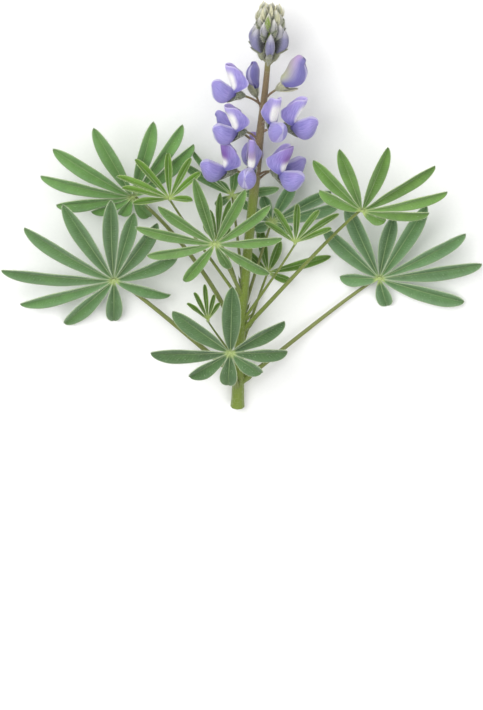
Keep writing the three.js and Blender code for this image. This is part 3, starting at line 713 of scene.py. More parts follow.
def calyx_finish():
    """Lupin calyx and bract: thin green sepals under close silvery hair, grey-green and dull, browner at
    the rim. Young ones turn cream, and the freshest is bright green."""
    material, tree, shader = start_material("hairy_sepal")
    along, pale, fresh = (
        add(tree, "Attribute", out="Fac", attribute_name=mark) for mark in ("along", "pale", "fresh")
    )
    place = add(tree, "TexCoord", out="Object")
    felt = add(
        tree, "TexNoise", {"Vector": place, "Scale": grain(1.11), "Detail": 4.0, "Roughness": 0.7}, out="Fac"
    )
    cloud = add(tree, "TexNoise", {"Vector": place, "Scale": grain(5.26), "Detail": 2.0}, out="Fac")
    green = add(tree, "Mix", {"Factor": felt, "A": paint("#404a2d"), "B": paint("#777e66")}, data_type="RGBA")
    cream = add(tree, "Mix", {"Factor": felt, "A": paint("#c2c096"), "B": paint("#e8e2c4")}, data_type="RGBA")
    edge = add(tree, "MapRange", {"Value": along, "From Min": 0.6, "From Max": 1.0, "To Max": 0.5})
    colour = lay_coats(tree, green, (cream, pale), ("#748a35", fresh), ("#6a5a4c", edge, cloud))
    bump = add(tree, "Bump", {"Strength": 0.6, "Distance": RELIEF, "Height": felt})
    plug(shader, {"Base Color": colour, "Normal": bump, "Roughness": 0.7, "Sheen Weight": 0.4})
    return material


def hair_finish(name, dark, pale):
    """Plant hair: fine, clear and silvery, so it reads as a pale soft rim."""
    material, tree, shader = start_material(name)
    place = add(tree, "TexCoord", out="Object")
    vary = add(tree, "TexNoise", {"Vector": place, "Scale": grain(0.667), "Detail": 1.0}, out="Fac")
    colour = add(tree, "Mix", {"Factor": vary, "A": paint(dark), "B": paint(pale)}, data_type="RGBA")
    plug(shader, {"Base Color": colour, "Roughness": 0.45, "Sheen Weight": 0.2})
    return material


def floor_finish():
    """Matt white card: the pale surface the stem lies on, with the faint tooth of card."""
    material, tree, shader = start_material("matt_card")
    place = add(tree, "TexCoord", out="Object")
    tooth = add(tree, "TexNoise", {"Vector": place, "Scale": grain(1.11), "Detail": 2.0}, out="Fac")
    colour = add(
        tree, "Mix", {"Factor": tooth, "A": paint("#f4f4f3"), "B": paint("#f9f9f8")}, data_type="RGBA"
    )
    plug(shader, {"Base Color": colour, "Roughness": 0.9, "Specular IOR Level": 0.1})
    return material


LEAF = leaf_finish()
STEM = stem_finish()
BANNER = petal_finish("banner_petal", banner_markings)
WING = petal_finish("wing_petal")
BUD = bud_finish()
CALYX = calyx_finish()
LEAF_HAIR = hair_finish("leaf_hair", "#c2d4ae", "#e2ead2")
SILVER_HAIR = hair_finish("silvery_hair", "#d4d6c6", "#f0efe4")

# Each kind of hair is gathered from all the pieces that bear it, and becomes a piece of its own at the end.
stem_hairs = Hairs(21)
sepal_hairs = Hairs(22)
bud_hairs = Hairs(23)
leaf_hairs = Hairs(24)
leaf_down = Hairs(25)


# ---- Stem ----

stem_line = catmull_rom(STEM_POINTS, np.linspace(0, 1, 3001))
stem_ahead = np.gradient(stem_line, axis=0)


def stem_frame(height, turn=0.0):
    """The stem's centre, its direction, and the direction that faces outwards at a turn round it."""
    height, turn = np.broadcast_arrays(np.asarray(height, float), np.radians(turn))
    centre = np.stack([np.interp(height, stem_line[:, 1], stem_line[:, n]) for n in range(3)], -1)
    along = unit(np.stack([np.interp(height, stem_line[:, 1], stem_ahead[:, n]) for n in range(3)], -1))
    side = unit(np.array([1.0, 0, 0]) - along * along[..., :1])
    front = np.cross(side, along)
    out = front * np.cos(turn)[..., None] + side * np.sin(turn)[..., None]
    return centre, along, out


def stem_radius(height):
    """Even up to the flowers, thinner to the head, and flared at the cut end."""
    taper = step(height, STEM_TAPER_FROM, STEM_END)
    flare = CUT_FLARE * np.exp(-np.asarray(height) / CUT_FLARE_LENGTH)
    return STEM_RADIUS + (STEM_TOP_RADIUS - STEM_RADIUS) * taper + flare


def round_mark(rings):
    """Where each point lies round a tube, for the stem's finish: half the cosine of its angle."""
    return 0.5 * np.cos(turns(rings.shape[1]))[None]


def stem_rings():
    """The stem's skin: a round tube with eight low ridges, swollen a little where each stalk leaves it."""
    shaft = np.linspace(0.8, STEM_END + 0.6, 210)
    height = np.concatenate([CUT_EDGE[:, 0], shaft])
    inset = np.concatenate([CUT_EDGE[:, 1], np.ones_like(shaft)])
    centre, along, front = stem_frame(height)
    angles = turns(32)
    ridge = 1 + 0.035 * np.cos(8 * angles + 0.5) + 0.015 * np.cos(3 * angles + 1.7)
    knots = [leaf["at"] for leaf in LEAVES.values()]
    swell = 1 + sum(0.07 * np.exp(-((height - at) / 1.6) ** 2) for at in knots)
    radius = (stem_radius(height) * inset * swell)[:, None] * ridge
    return height, ovals(centre, np.cross(front, along), front, radius, radius, angles)


def build_stem():
    """The stem's skin, brown among the flowers and pale at the cut."""
    height, rings = stem_rings()
    brown = 0.9 * step(height, 88, 108) * (1 - 0.45 * step(height, 146, 154))
    pith = 1 - step(height, 0.0, 0.05)
    skins = Skins()
    skins.add(
        rings,
        height=height[:, None],
        across=round_mark(rings),
        brown=brown[:, None],
        pith=pith[:, None],
    )
    skins.build("stem_skin", STEM, "stem", "stem")
    stem_hairs.add(rings, 2800, length=0.6, lean=0.7, width=0.028, stretch=(0.02, 0.99))


# ---- Flowers ----

# Along the pair of wings: place, middle, half height and half width.
WING_STATIONS = [
    [3.6, -0.2, 0.6, 0.4],
    [4.95, -0.35, 1.5, 1.0],
    [7.2, -1.1, 3.3, 2.5],
    [10.4, -1.1, 4.4, 3.4],
    [13.4, 0.1, 4.0, 3.1],
    [15.5, 1.4, 2.5, 1.9],
]
WING_FROM, WING_LENGTH = 3.6, 12.5
HOOD_FROM, HOOD_LENGTH = 3.5, 13.5
# The wings, and a hood that is folded over them, round off from here to just past their ends.
WING_TIP_FROM, WING_TIP_TO, HOOD_TIP_TO = 13.0, 16.12, 17.2
SEAM = np.linspace(0.97, -0.97, 9)  # the flat inner face of a wing, as shares of its half height
# Up the banner: share of its height and half width.
BANNER_WIDTHS = [[0, 1.4], [0.06, 3.4], [0.24, 7.2], [0.5, 8.8], [0.76, 8.6], [1, 7.2]]
# Its bow, seen from the side: height and how far forward.
BANNER_BOW = [[0, -0.1], [0.4, 0], [3.2, 0.7], [6.8, 1.9], [10.2, 2.9], [13.7, 3.2]]
BANNER_FOOT = (6.15, 0.3)  # forward and up
BANNER_HEIGHT = 12.5
BANNER_SPAN = 13.0  # the height over which a banner's markings are laid out
PETAL_THICK = 0.4
# The banner's grid: u up it, and v across it, closer together towards its sides.
BANNER_U = np.linspace(0, 1, 30)[:, None]
BANNER_V = np.sin(np.linspace(-1, 1, 27) * np.pi / 2)[None]
# Along the calyx cup, and round its rolled rim: forward and radius.
CUP_STATIONS = [[0, 0.66], [0.9, 1.2], [1.8, 1.66], [3.2, 1.95], [4.5, 2.1]]
CUP_RIM = np.array([[4.75, 2.05], [4.7, 1.85], [4.2, 1.5]])
CUP_STEPS = 12
# Lengths for the finishes to run along: a flower's stalk, and its calyx with the lips.
FLOWER_STALK_SPAN = 9
CALYX_SPAN = 9
# Along the lips of the calyx: forward, up and half width.
OPEN_LIP = [[1.6, -1.4, 1.4], [3.6, -2.3, 1.4], [5.2, -3.45, 1.0], [6.6, -4.5, 0.5]]
FURLED_LIP = [[1.6, -1.5, 1.6], [3.8, -3.0, 2.1], [6.0, -4.1, 1.8], [8.2, -4.7, 0.9]]
UPPER_LIP = [[2.2, 1.45, 1.5], [3.6, 1.75, 1.6], [4.8, 2.35, 1.2], [5.4, 3.2, 0.6]]
LIP_THICK = 0.34
LIP_CURL = 0.28
CALYX_MOUTH = 3.6
FURLED_REACH = 1.16
FURLED_RISE = math.radians(12)


class Seat:
    """A flower's own frame: forward, left and up, from the foot of its calyx."""

    def __init__(self, flower):
        self.size = flower["size"]
        self.centre, self.along, self.out = stem_frame(flower["at"], flower["turn"])
        self.radius = float(stem_radius(flower["at"]))
        self.stalk = flower["stalk"]
        rise = math.radians(flower["rise"])
        self.foot = self.centre + self.out * (self.radius + self.stalk) + self.along * STALK_RISE
        self.forward = self.out * math.cos(rise) + self.along * math.sin(rise)
        self.up = self.along * math.cos(rise) - self.out * math.sin(rise)
        roll = math.radians(flower.get("roll", 0.0))
        self.up = self.up * math.cos(roll) + np.cross(self.up, self.forward) * math.sin(roll)
        self.left = np.cross(self.up, self.forward)
        self.slim = flower.get("slim", 1.0)

    def place(self, x, y, z):
        """Points of the flower's frame in the plant's."""
        x, y, z = (np.asarray(v, float)[..., None] * self.size for v in np.broadcast_arrays(x, y, z))
        return self.foot + self.forward * x + self.left * y + self.up * z

    def furl(self, x, y, z):
        """Points of an opening flower's petals: drawn out forwards, slimmer, and turned up at the calyx's
        mouth."""
        reach, lift = FURLED_REACH * (x - CALYX_MOUTH), self.slim * z
        cos, sin = math.cos(FURLED_RISE), math.sin(FURLED_RISE)
        return self.place(CALYX_MOUTH + reach * cos - lift * sin, self.slim * y, reach * sin + lift * cos)


def flower_stalk(seat):
    """The stalk: a thin tube that leaves the stem at a slant and bends out to the calyx."""
    root = seat.centre + seat.out * (seat.radius - 0.8)
    bend = seat.centre + seat.out * (seat.radius + seat.stalk * 0.45) + seat.along * STALK_RISE * 0.62
    share = np.linspace(0, 1, 14)
    path = catmull_rom([root, bend, seat.foot + seat.forward * 0.8], share)
    radii = 0.9 * STALK_RADIUS * (1 + 0.6 * np.exp(-share / 0.12) + 0.35 * step(share, 0.8, 1))
    return share, tube(path, radii, 10)


def calyx_cup(seat):
    """The calyx: a cup that swells from the stalk, with a rolled rim. It is a little deeper than wide, and
    sags."""
    body = np.linspace(0, CUP_STATIONS[-1][0], CUP_STEPS)
    x = np.concatenate([body, CUP_RIM[:, 0]])
    radius = np.concatenate([through(CUP_STATIONS, body)[0], CUP_RIM[:, 1]])
    angles = turns(24)
    ripple = 1 + 0.03 * np.cos(5 * angles + 0.7)
    y = radius[:, None] * np.cos(angles) * ripple
    z = 1.05 * radius[:, None] * np.sin(angles) * ripple - 0.1 * x[:, None]
    return x, seat.place(x[:, None], y, z)


def calyx_lip(seat, stations, curl):
    """A lip of the calyx: a tapering scoop, raised across by curl v^2 times its half width. Stations give
    x, z and half width."""
    share = np.linspace(0, 1, 14)
    table = np.asarray(stations, float)
    x, z, half = through(np.column_stack([np.linspace(0, 1, len(table)), table]), share)
    half = np.maximum(half * np.sqrt(np.clip(1 - step(share, 0.75, 1.0) * 0.97, 0.02, 1)), 0.06)
    v = np.linspace(-1, 1, 7)
    scoop = curl * (v**2) * half[:, None]
    top = seat.place(x[:, None], v * half[:, None], z[:, None] + scoop)
    low = seat.place(x[:, None], v[::-1] * half[:, None], z[:, None] - LIP_THICK + scoop)
    return share, np.concatenate([top, low], 1)


def banner_rings(seat, flower):
    """The banner of an open flower: a sheet that rises from the calyx to a broad top. Flat, its point (u,
    v) is w(u) v aside and at height grown (H u + u^2 (crest S(|v|) - 5.4 (1 - sqrt(1 - |0.99 v|^3.2)))), so
    its corners are round. Across, it turns backwards round a fold by the fold's angle and runs straight
    from there. The whole leans forward by nod."""
    u, v = BANNER_U, BANNER_V
    grown = flower.get("grown", 1.0)
    half = through(BANNER_WIDTHS, u)[0] * grown
    crest = flower.get("crest", 0.2) * step(np.abs(v), 0.0, 0.75)
    corners = 5.4 * (1 - np.sqrt(1 - np.abs(0.99 * v) ** 3.2))
    height = (BANNER_HEIGHT * u + u**2 * (crest - corners)) * grown
    bow = through(BANNER_BOW, height)[0]
    radius = (2.8 - 0.6 * step(u, 0.3, 1.0)) * flower.get("tight", 1.0)
    low_fold, high_fold = flower.get("fold", (1.3, 1.3))
    aside = np.abs(v) * half
    arc = np.minimum(aside, radius * (low_fold + (high_fold - low_fold) * step(u, 0.3, 0.6)))
    rest = aside - arc
    bend = arc / radius
    wave = 0.22 * np.sin(9 * u + 1.3 * np.sign(v)) * np.abs(v) ** 3
    keel = 0.3 * np.exp(-((v / 0.1) ** 2)) * step(u, 0.05, 0.3) * (1 - step(u, 0.6, 0.95))
    nod = math.radians(flower.get("nod", 0.0))
    foot_x, foot_z = BANNER_FOOT

    def layer(depth):
        """The sheet's face at a depth behind its front."""
        across = radius * np.sin(bend) + rest * np.cos(bend) - depth * np.sin(bend)
        back = radius * (1 - np.cos(bend)) + rest * np.sin(bend) + depth * np.cos(bend)
        ahead = bow - back + wave - keel
        x = foot_x + ahead * math.cos(nod) + height * math.sin(nod)
        z = foot_z + height * math.cos(nod) - ahead * math.sin(nod)
        return seat.place(x, np.sign(v) * across, z)

    return banner_skin(layer(0.0), layer(PETAL_THICK), height / BANNER_SPAN)


def wing_section(x, end):
    """Middle, half height and half width of the pair of wings at x. Near their tips they round off to the
    end."""
    middle, half_height, half_width = through(WING_STATIONS, np.minimum(x, WING_STATIONS[-1][0]))
    tip = rounded(x, WING_TIP_FROM, end - WING_TIP_FROM)
    return middle + 0.25 * step(x, 14, 16), half_height * (0.25 * tip + 0.75 * tip**0.8), half_width * tip


def hood_rings(seat, flower):
    """The banner of an opening flower: a hood still folded over the wings. At x it is part of an oval a
    little larger than theirs: y = w sin(b), z = middle + h cos(b), with b up to 1.9 + wrap radians to
    either side of its ridge. It swells out of the calyx and closes round at its tip."""
    u, v = BANNER_U, BANNER_V
    x = HOOD_FROM + HOOD_LENGTH * np.sin(u * np.pi / 2) ** 1.15
    swell = 0.9 * np.exp(-(((x - 5.6) / 1.6) ** 2))
    middle, high, wide = wing_section(x, HOOD_TIP_TO)
    bend = np.abs(v) * (1.9 + flower.get("wrap", 0.7) * step(u, 0.0, 0.35))
    close = rounded(u, 0.84, 0.165)
    lip = 0.3 * step(np.abs(v), 0.85, 1.0) * np.sin(7 * u + 0.8)

    def layer(depth):
        """The hood's face at a depth outside its middle."""
        across = np.maximum((wide + swell + 0.45) * close + depth + lip, 0.05) * np.sin(bend)
        lift = np.maximum((high + swell + 0.45) * close + depth, 0.05) * np.cos(bend)
        return seat.furl(x, np.sign(v) * across, middle + 0.1 + lift)

    return banner_skin(layer(-PETAL_THICK / 2), layer(PETAL_THICK / 2), u)


def banner_skin(front, back, along):
    """The two faces of a banner as rings, with their marks: share of the height, across, rim and which
    face."""
    rim = np.maximum(step(np.abs(BANNER_V), 0.92, 1.0), step(BANNER_U, 0.93, 1.0))
    along, across, rim = (both_faces(mark) for mark in np.broadcast_arrays(along, BANNER_V, rim))
    facing = np.repeat([1.0, 0.0], BANNER_V.size)[None]
    return np.concatenate([front, back[:, ::-1]], 1), dict(along=along, across=across, rim=rim, front=facing)


def wing_rings(seat, side, opened):
    """One wing: half of a blunt, upturned pouch. Its section is half an oval, y = w cos(a) and z = h
    sin(a), closed by a flat inner face, so that the pair meets in a seam."""
    share = np.linspace(0, 1, 34)
    x = WING_FROM + WING_LENGTH * np.sin(share * np.pi / 2) ** 1.1
    middle, half_height, half_width = wing_section(x, WING_TIP_TO)
    half_height, half_width = np.maximum(half_height, 0.05), np.maximum(half_width, 0.05)
    angles = np.linspace(-np.pi / 2, np.pi / 2, 21)
    puff = 1 + 0.03 * np.sin(3 * angles[None] + 4 * share[:, None])
    dimple = 0.35 * np.exp(-(((x - 6.6) / 1.3) ** 2))[:, None] * np.exp(-(((angles - 0.35) / 0.5) ** 2))
    outer_y = half_width[:, None] * np.cos(angles) ** 0.85 * puff - dimple + 0.1
    outer_z = middle[:, None] + half_height[:, None] * np.sin(angles)
    inner_z = middle[:, None] + half_height[:, None] * SEAM
    inner_y = np.full_like(inner_z, 0.06)
    y = np.concatenate([outer_y, inner_y], 1) * side
    z = np.concatenate([outer_z, inner_z], 1)
    rings = seat.place(x[:, None], y, z) if opened else seat.furl(x[:, None], y, z)
    across = np.concatenate([np.sin(angles), SEAM])[None]
    # The rim runs along the seam where the pair meets, whose pale line is partly a painted highlight, and
    # round the tip.
    rim = np.concatenate([step(np.abs(np.sin(angles)), 0.9, 1.0), np.ones_like(SEAM)])[None] * 0.8
    rim = np.maximum(rim, step(share, 0.9, 1.0)[:, None] * 0.5)
    return rings, dict(along=share[:, None], across=across, rim=rim)


def build_flowers():
    """Each flower's stalk and calyx, gathered into two pieces, and its banner and its pair of wings."""
    stalks, cups = Skins(), Skins()
    for i, flower in enumerate(FLOWERS):
        seat = Seat(flower)
        number = f"{i + 1:02d}"
        node = "flower_" + number
        opened = bool(flower["open"])
        cream = flower.get("cream", 0.0)

        share, rings = flower_stalk(seat)
        height = share * FLOWER_STALK_SPAN
        brown = 1.0 - 0.35 * step(share, 0.5, 1.0)
        stalks.add(rings, height=height[:, None], across=round_mark(rings), brown=brown[:, None])
        sepal_hairs.add(rings, 120, length=0.7, lean=0.4, width=0.03)

        x, rings = calyx_cup(seat)
        cups.add(rings, along=(x / CALYX_SPAN)[:, None], pale=0.35 * cream)
        sepal_hairs.add(rings[:CUP_STEPS], 420, length=0.75, lean=0.9, width=0.032)
        for stations, curl in ((OPEN_LIP if opened else FURLED_LIP, LIP_CURL), (UPPER_LIP, -LIP_CURL)):
            share, rings = calyx_lip(seat, stations, curl)
            cups.add(rings, along=(0.3 + 0.7 * share)[:, None], pale=0.65 * cream)
            sepal_hairs.add(rings, 170, length=0.7, lean=0.8, width=0.032)

        rings, marks = banner_rings(seat, flower) if opened else hood_rings(seat, flower)
        marks |= {mark: flower.get(mark, 0.0) for mark in ("blush", "cream", "spot")}
        banner = Skins()
        banner.add(rings, bud=0.0 if opened else 1.0, **marks)
        banner.build("banner_" + number, BANNER, "petal", node)
        wings = Skins()
        for side in (1, -1):
            rings, marks = wing_rings(seat, side, opened)
            wings.add(rings, **marks)
        wings.build("wings_" + number, WING, "petal", node)
    stalks.build("flower_stalks", STEM, "stem", "stem")
    cups.build("flower_calyxes", CALYX, "stem", "stem")


# ---- Buds ----

# Along a large bud's calyx cup, and round its rolled rim: place on the bud's axis and radius.
BUD_CUP_STATIONS = [[-3.4, 0.55], [-2, 1.25], [-0.3, 1.55]]
BUD_CUP_RIM = np.array([[0.1, 1.5], [0.3, 1.35], [-0.2, 0.9]])
BUD_CUP_STEPS = 9
BUD_CUP_NARROWING = 0.72
BUD_STALK_DROP = 4.6  # how far below its bud a large bud's stalk leaves the stem
# Along the core of the head: height and radius.
CORE_STATIONS = [[156.4, 1.0], [160, 1.5], [163, 3.0], [168, 3.0], [173, 2.0], [175, 0.5]]
OUTWARD, INWARD = 90, 270  # which way a sepal faces round its bud


def bud_seat(at, turn, seat, lean):
    """Where a bud sits: its foot, its own axis, and the directions outwards and across."""
    centre, along, out = stem_frame(at, turn)
    lean = math.radians(lean)
    axis = along * math.cos(lean) + out * math.sin(lean)
    outward = out * math.cos(lean) - along * math.sin(lean)
    across = np.cross(outward, axis)
    return dict(foot=centre + out * seat, axis=axis, outward=outward, across=across, turn=turn)


def bud_point(seat, length, thick, share, angle, extra=0.0):
    """A point of a bud's skin, or of what lies on it by extra. Its centre runs up the axis and bows
    outwards, and round the centre the skin is an oval that is narrower across than deep. Angle 90 degrees
    faces outwards."""
    share, angle = np.broadcast_arrays(share, angle)
    swell, bow = through(BUD_STATIONS, share)
    swell = np.maximum(swell * rounded(share, 0.86, 0.145), 0.02) * thick
    centre = seat["foot"] + seat["axis"] * (share * length)[..., None]
    centre = centre + seat["outward"] * (bow * length)[..., None]
    wide = (swell * BUD_NARROWING + extra) * np.cos(angle)
    deep = (swell + extra) * np.sin(angle)
    return centre + seat["across"] * wide[..., None] + seat["outward"] * deep[..., None]


def bud_petals(seat, length, thick):
    """The folded banner of a bud: the bud's skin with a slit down its outward side, where the banner's
    edges meet."""
    share = 0.5 - 0.5 * np.cos(np.linspace(0, np.pi, 26))
    angles = turns(28) + np.pi / 2
    from_slit = np.angle(np.exp(1j * (angles - np.pi / 2)))
    length_of_slit = step(share, 0.08, 0.2) * (1 - step(share, 0.72, 0.9))
    slit = np.exp(-((from_slit / 0.16) ** 2))[None] * length_of_slit[:, None]
    rings = bud_point(seat, length, thick, share[:, None], angles[None])
    rings = rings - seat["outward"] * (slit * 0.16 * thick)[..., None]
    return rings, dict(along=share[:, None], slit=slit, across=(from_slit / np.pi)[None])


def bud_sepal(seat, length, thick, facing, reach, spread, lift=0.16):
    """A sepal laid on a bud: it wraps the skin over an angle that narrows to a point at its reach. At its
    foot, half that angle is its spread, in radians."""
    share = np.linspace(-0.06, reach, 16)
    run = (share - share[0]) / (share[-1] - share[0])
    half_angle = spread * np.clip(1 - run**2.2, 0.02, 1)
    angle = math.radians(facing) + half_angle[:, None] * np.linspace(-1, 1, 9)
    flare = (0.25 * run**4)[:, None]
    outer = bud_point(seat, length, thick, share[:, None], angle, lift + 0.2 + flare)
    inner = bud_point(seat, length, thick, share[:, None], angle[:, ::-1], lift - 0.25 + flare)
    return run, np.concatenate([outer, inner], 1)


def bud_cup(seat):
    """The calyx cup of a large bud: it swells from the stalk and rolls in at its rim."""
    body = np.linspace(BUD_CUP_STATIONS[0][0], BUD_CUP_STATIONS[-1][0], BUD_CUP_STEPS)
    x = np.concatenate([body, BUD_CUP_RIM[:, 0]])
    radius = np.concatenate([through(BUD_CUP_STATIONS, body)[0], BUD_CUP_RIM[:, 1]])
    centres = seat["foot"] + seat["axis"] * x[:, None]
    return ovals(centres, seat["across"], seat["outward"], radius * BUD_CUP_NARROWING, radius, turns(18))


def bud_stalk(seat):
    """The short stalk of a large bud: straight from the stem to its calyx."""
    centre, _, out = stem_frame(seat["foot"][1] - BUD_STALK_DROP, seat["turn"])
    root = centre + out * (STEM_TOP_RADIUS - 0.5)
    end = seat["foot"] - seat["axis"] * 2.4
    share = np.linspace(0, 1, 8)[:, None]
    return tube(root + (end - root) * share, np.full(len(share), STALK_RADIUS * 1.05), 10)


def bract(seat, length, width, lean_out, rng):
    """A bract: a narrow hairy blade, longer than its bud, that curves outwards and in again at its tip."""
    share = np.linspace(0, 1, 14)
    drift = rng.normal(0, 0.5)
    path = (
        seat["foot"]
        + seat["axis"] * (share * length)[:, None]
        + seat["outward"] * (lean_out * np.sin(share * 2.6))[:, None]
        + seat["across"] * (drift * share**2)[:, None]
    )
    half = width * np.clip(np.sin(share * 2.4 + 0.6), 0.05, 1) * (1 - 0.93 * step(share, 0.55, 1.0))
    return share, ovals(path, seat["across"], seat["outward"], half, half * 0.3 + 0.06, turns(8))


def build_large_buds():
    """The ring of large buds at the foot of the head, each with its calyx cup, two sepals and a short
    stalk."""
    length, thick = LARGE_BUDS["length"], LARGE_BUDS["thick"]
    calyxes = Skins()
    for i, (at, turn) in enumerate(LARGE_BUD_SEATS):
        seat = bud_seat(at, turn, LARGE_BUDS["seat"], LARGE_BUDS["lean"])
        rings, marks = bud_petals(seat, length, thick)
        marks["slit"] = 0.4 * marks["slit"]
        petals = Skins()
        petals.add(rings, young=0.0, leafy=0.0, **marks)
        petals.build(f"bud_petals_{i + 1}", BUD, "bud", f"bud_{i + 1}")
        bud_hairs.add(rings, 260, length=0.5, lean=2.0, width=0.025)

        rings = bud_cup(seat)
        calyxes.add(rings, along=0.3, pale=0.2)
        sepal_hairs.add(rings[:BUD_CUP_STEPS], 240, length=0.65, lean=1.0, width=0.03)
        for facing, reach, spread in ((OUTWARD, 0.36, 1.05), (INWARD, 0.3, 1.1)):
            run, rings = bud_sepal(seat, length, thick, facing, reach, spread)
            calyxes.add(rings, along=(0.25 + 0.6 * run)[:, None], pale=(0.25 * (1 - run))[:, None])
            sepal_hairs.add(rings, 150, length=0.6, lean=1.2, width=0.03)
        calyxes.add(bud_stalk(seat), along=0.15, pale=0.3)
    calyxes.build("bud_calyxes", CALYX, "stem", "stem")


def build_head():
    """The head: a slim green core, twenty young buds in a spiral and three small ones that close its tip,
    each with two hairy sepals and a bract."""
    rng = np.random.default_rng(11)
    core, petals, sepals = Skins(), Skins(), Skins()
    height = np.linspace(CORE_STATIONS[0][0], CORE_STATIONS[-1][0], 22)
    centre, along, front = stem_frame(height)
    radius = through(CORE_STATIONS, height)[0]
    rings = ovals(centre, np.cross(front, along), front, radius, radius, turns(20))
    core.add(rings, height=height[:, None], brown=0.0, across=round_mark(rings))
    core.build("head_core", STEM, "young_bud", "bud_head")
    count = SMALL_BUDS["count"]
    sizes = ("at", "length", "lean", "seat", "thick")
    for i in range(count + CROWN_BUDS["count"]):
        share = min(i / (count - 1), 1.0)
        if i < count:
            row = [low + (high - low) * share for low, high in (SMALL_BUDS[size] for size in sizes)]
        else:
            row = [CROWN_BUDS[size] for size in sizes]
        at, length, lean, reach, thick = row
        turn = FIRST_SMALL_TURN + i * GOLDEN_ANGLE
        fresh = 1.0 if i == FRESHEST_BUD else 0.0
        seat = bud_seat(at, turn, reach, lean)
        rings, marks = bud_petals(seat, length, thick)
        leafy = max(0.15 + 0.6 * step(share, 0.2, 0.8), fresh)
        petals.add(rings, young=0.65 + 0.35 * step(share, 0.0, 0.5), leafy=leafy, **marks)
        bud_hairs.add(rings, 220, length=0.55 + 0.3 * share, lean=1.4, width=0.025)
        cover = 0.42 + 0.66 * step(share, 0.1, 0.85)
        for facing, part in ((OUTWARD, 1.0), (INWARD, 0.9)):
            run, rings = bud_sepal(seat, length, thick, facing, cover * part, 1.15, lift=0.12)
            pale = step(share, 0.45, 0.95) * (0.35 + 0.65 * run) * (1 - fresh)
            sepals.add(rings, along=(0.2 + 0.5 * run)[:, None], pale=pale[:, None], fresh=fresh)
            sepal_hairs.add(rings, 130, length=0.65, lean=1.3, width=0.03)
        low_seat = bud_seat(at - 1.2, turn, reach + thick * 0.75, lean)
        run, rings = bract(low_seat, length * (0.7 + 0.34 * share), 0.55, 0.9 + 0.5 * share, rng)
        pale = (0.35 + 0.65 * run) * (0.2 + 0.8 * step(share, 0.3, 0.9))
        sepals.add(rings, along=(0.8 * run)[:, None], pale=pale[:, None], fresh=0.8 * fresh)
        sepal_hairs.add(rings, 130, length=0.9, lean=0.9, width=0.03)
    petals.build("head_buds", BUD, "young_bud", "bud_head")
    sepals.build("head_sepals", CALYX, "young_bud", "bud_head")


# ---- Leaves ----

LEAFLET_ACROSS = 15  # points across each face of a leaflet
# The points of a leaflet's section that lie on its right and its left rim.
LEAFLET_RIMS = ((0, 2 * LEAFLET_ACROSS - 1), (LEAFLET_ACROSS - 1, LEAFLET_ACROSS))
OUTLINE_PEAK = 0.3952  # the greatest value of s^0.85 (1 - s)^0.54
# Up through the hub: height and share of its radius.
HUB_PROFILE = np.array([
    [-1.3, 0.4], [-0.9, 0.52], [-0.3, 0.6], [0.15, 0.56], [0.4, 0.42], [0.42, 0.2], [0.3, 0.03],
])
# On the hub the leaflets' finish is pale green, with neither rib nor rim.
HUB_MARKS = dict(along=0.5, across=0.5, aside=1.0, edge=2.0, reach=0.1, top=1.0, tone=0.6, down=0.5)
# Lengths for the stem's finish to run along: a leaf's stalk and a stipule.
LEAF_STALK_SPAN = 60
STIPULE_SPAN = 5


class Blade:
    """A leaf's blade: its hub and the directions across, away and up from it."""

    def __init__(self, leaf):
        tilt, roll = math.radians(leaf["tilt"]), math.radians(leaf.get("roll", 0))
        sin, cos = math.sin, math.cos
        self.hub = np.array(leaf["hub"], float)
        self.across = np.array([cos(roll), sin(tilt) * sin(roll), -cos(tilt) * sin(roll)])
        self.away = np.array([0.0, cos(tilt), sin(tilt)])
        self.normal = np.array([sin(roll), -sin(tilt) * cos(roll), cos(tilt) * cos(roll)])
        self.leaflets = sorted(leaf["leaflets"])
        self.longest = max(length for _, length in self.leaflets)
        self.hub_radius = 0.7 + 0.13 * len(self.leaflets)


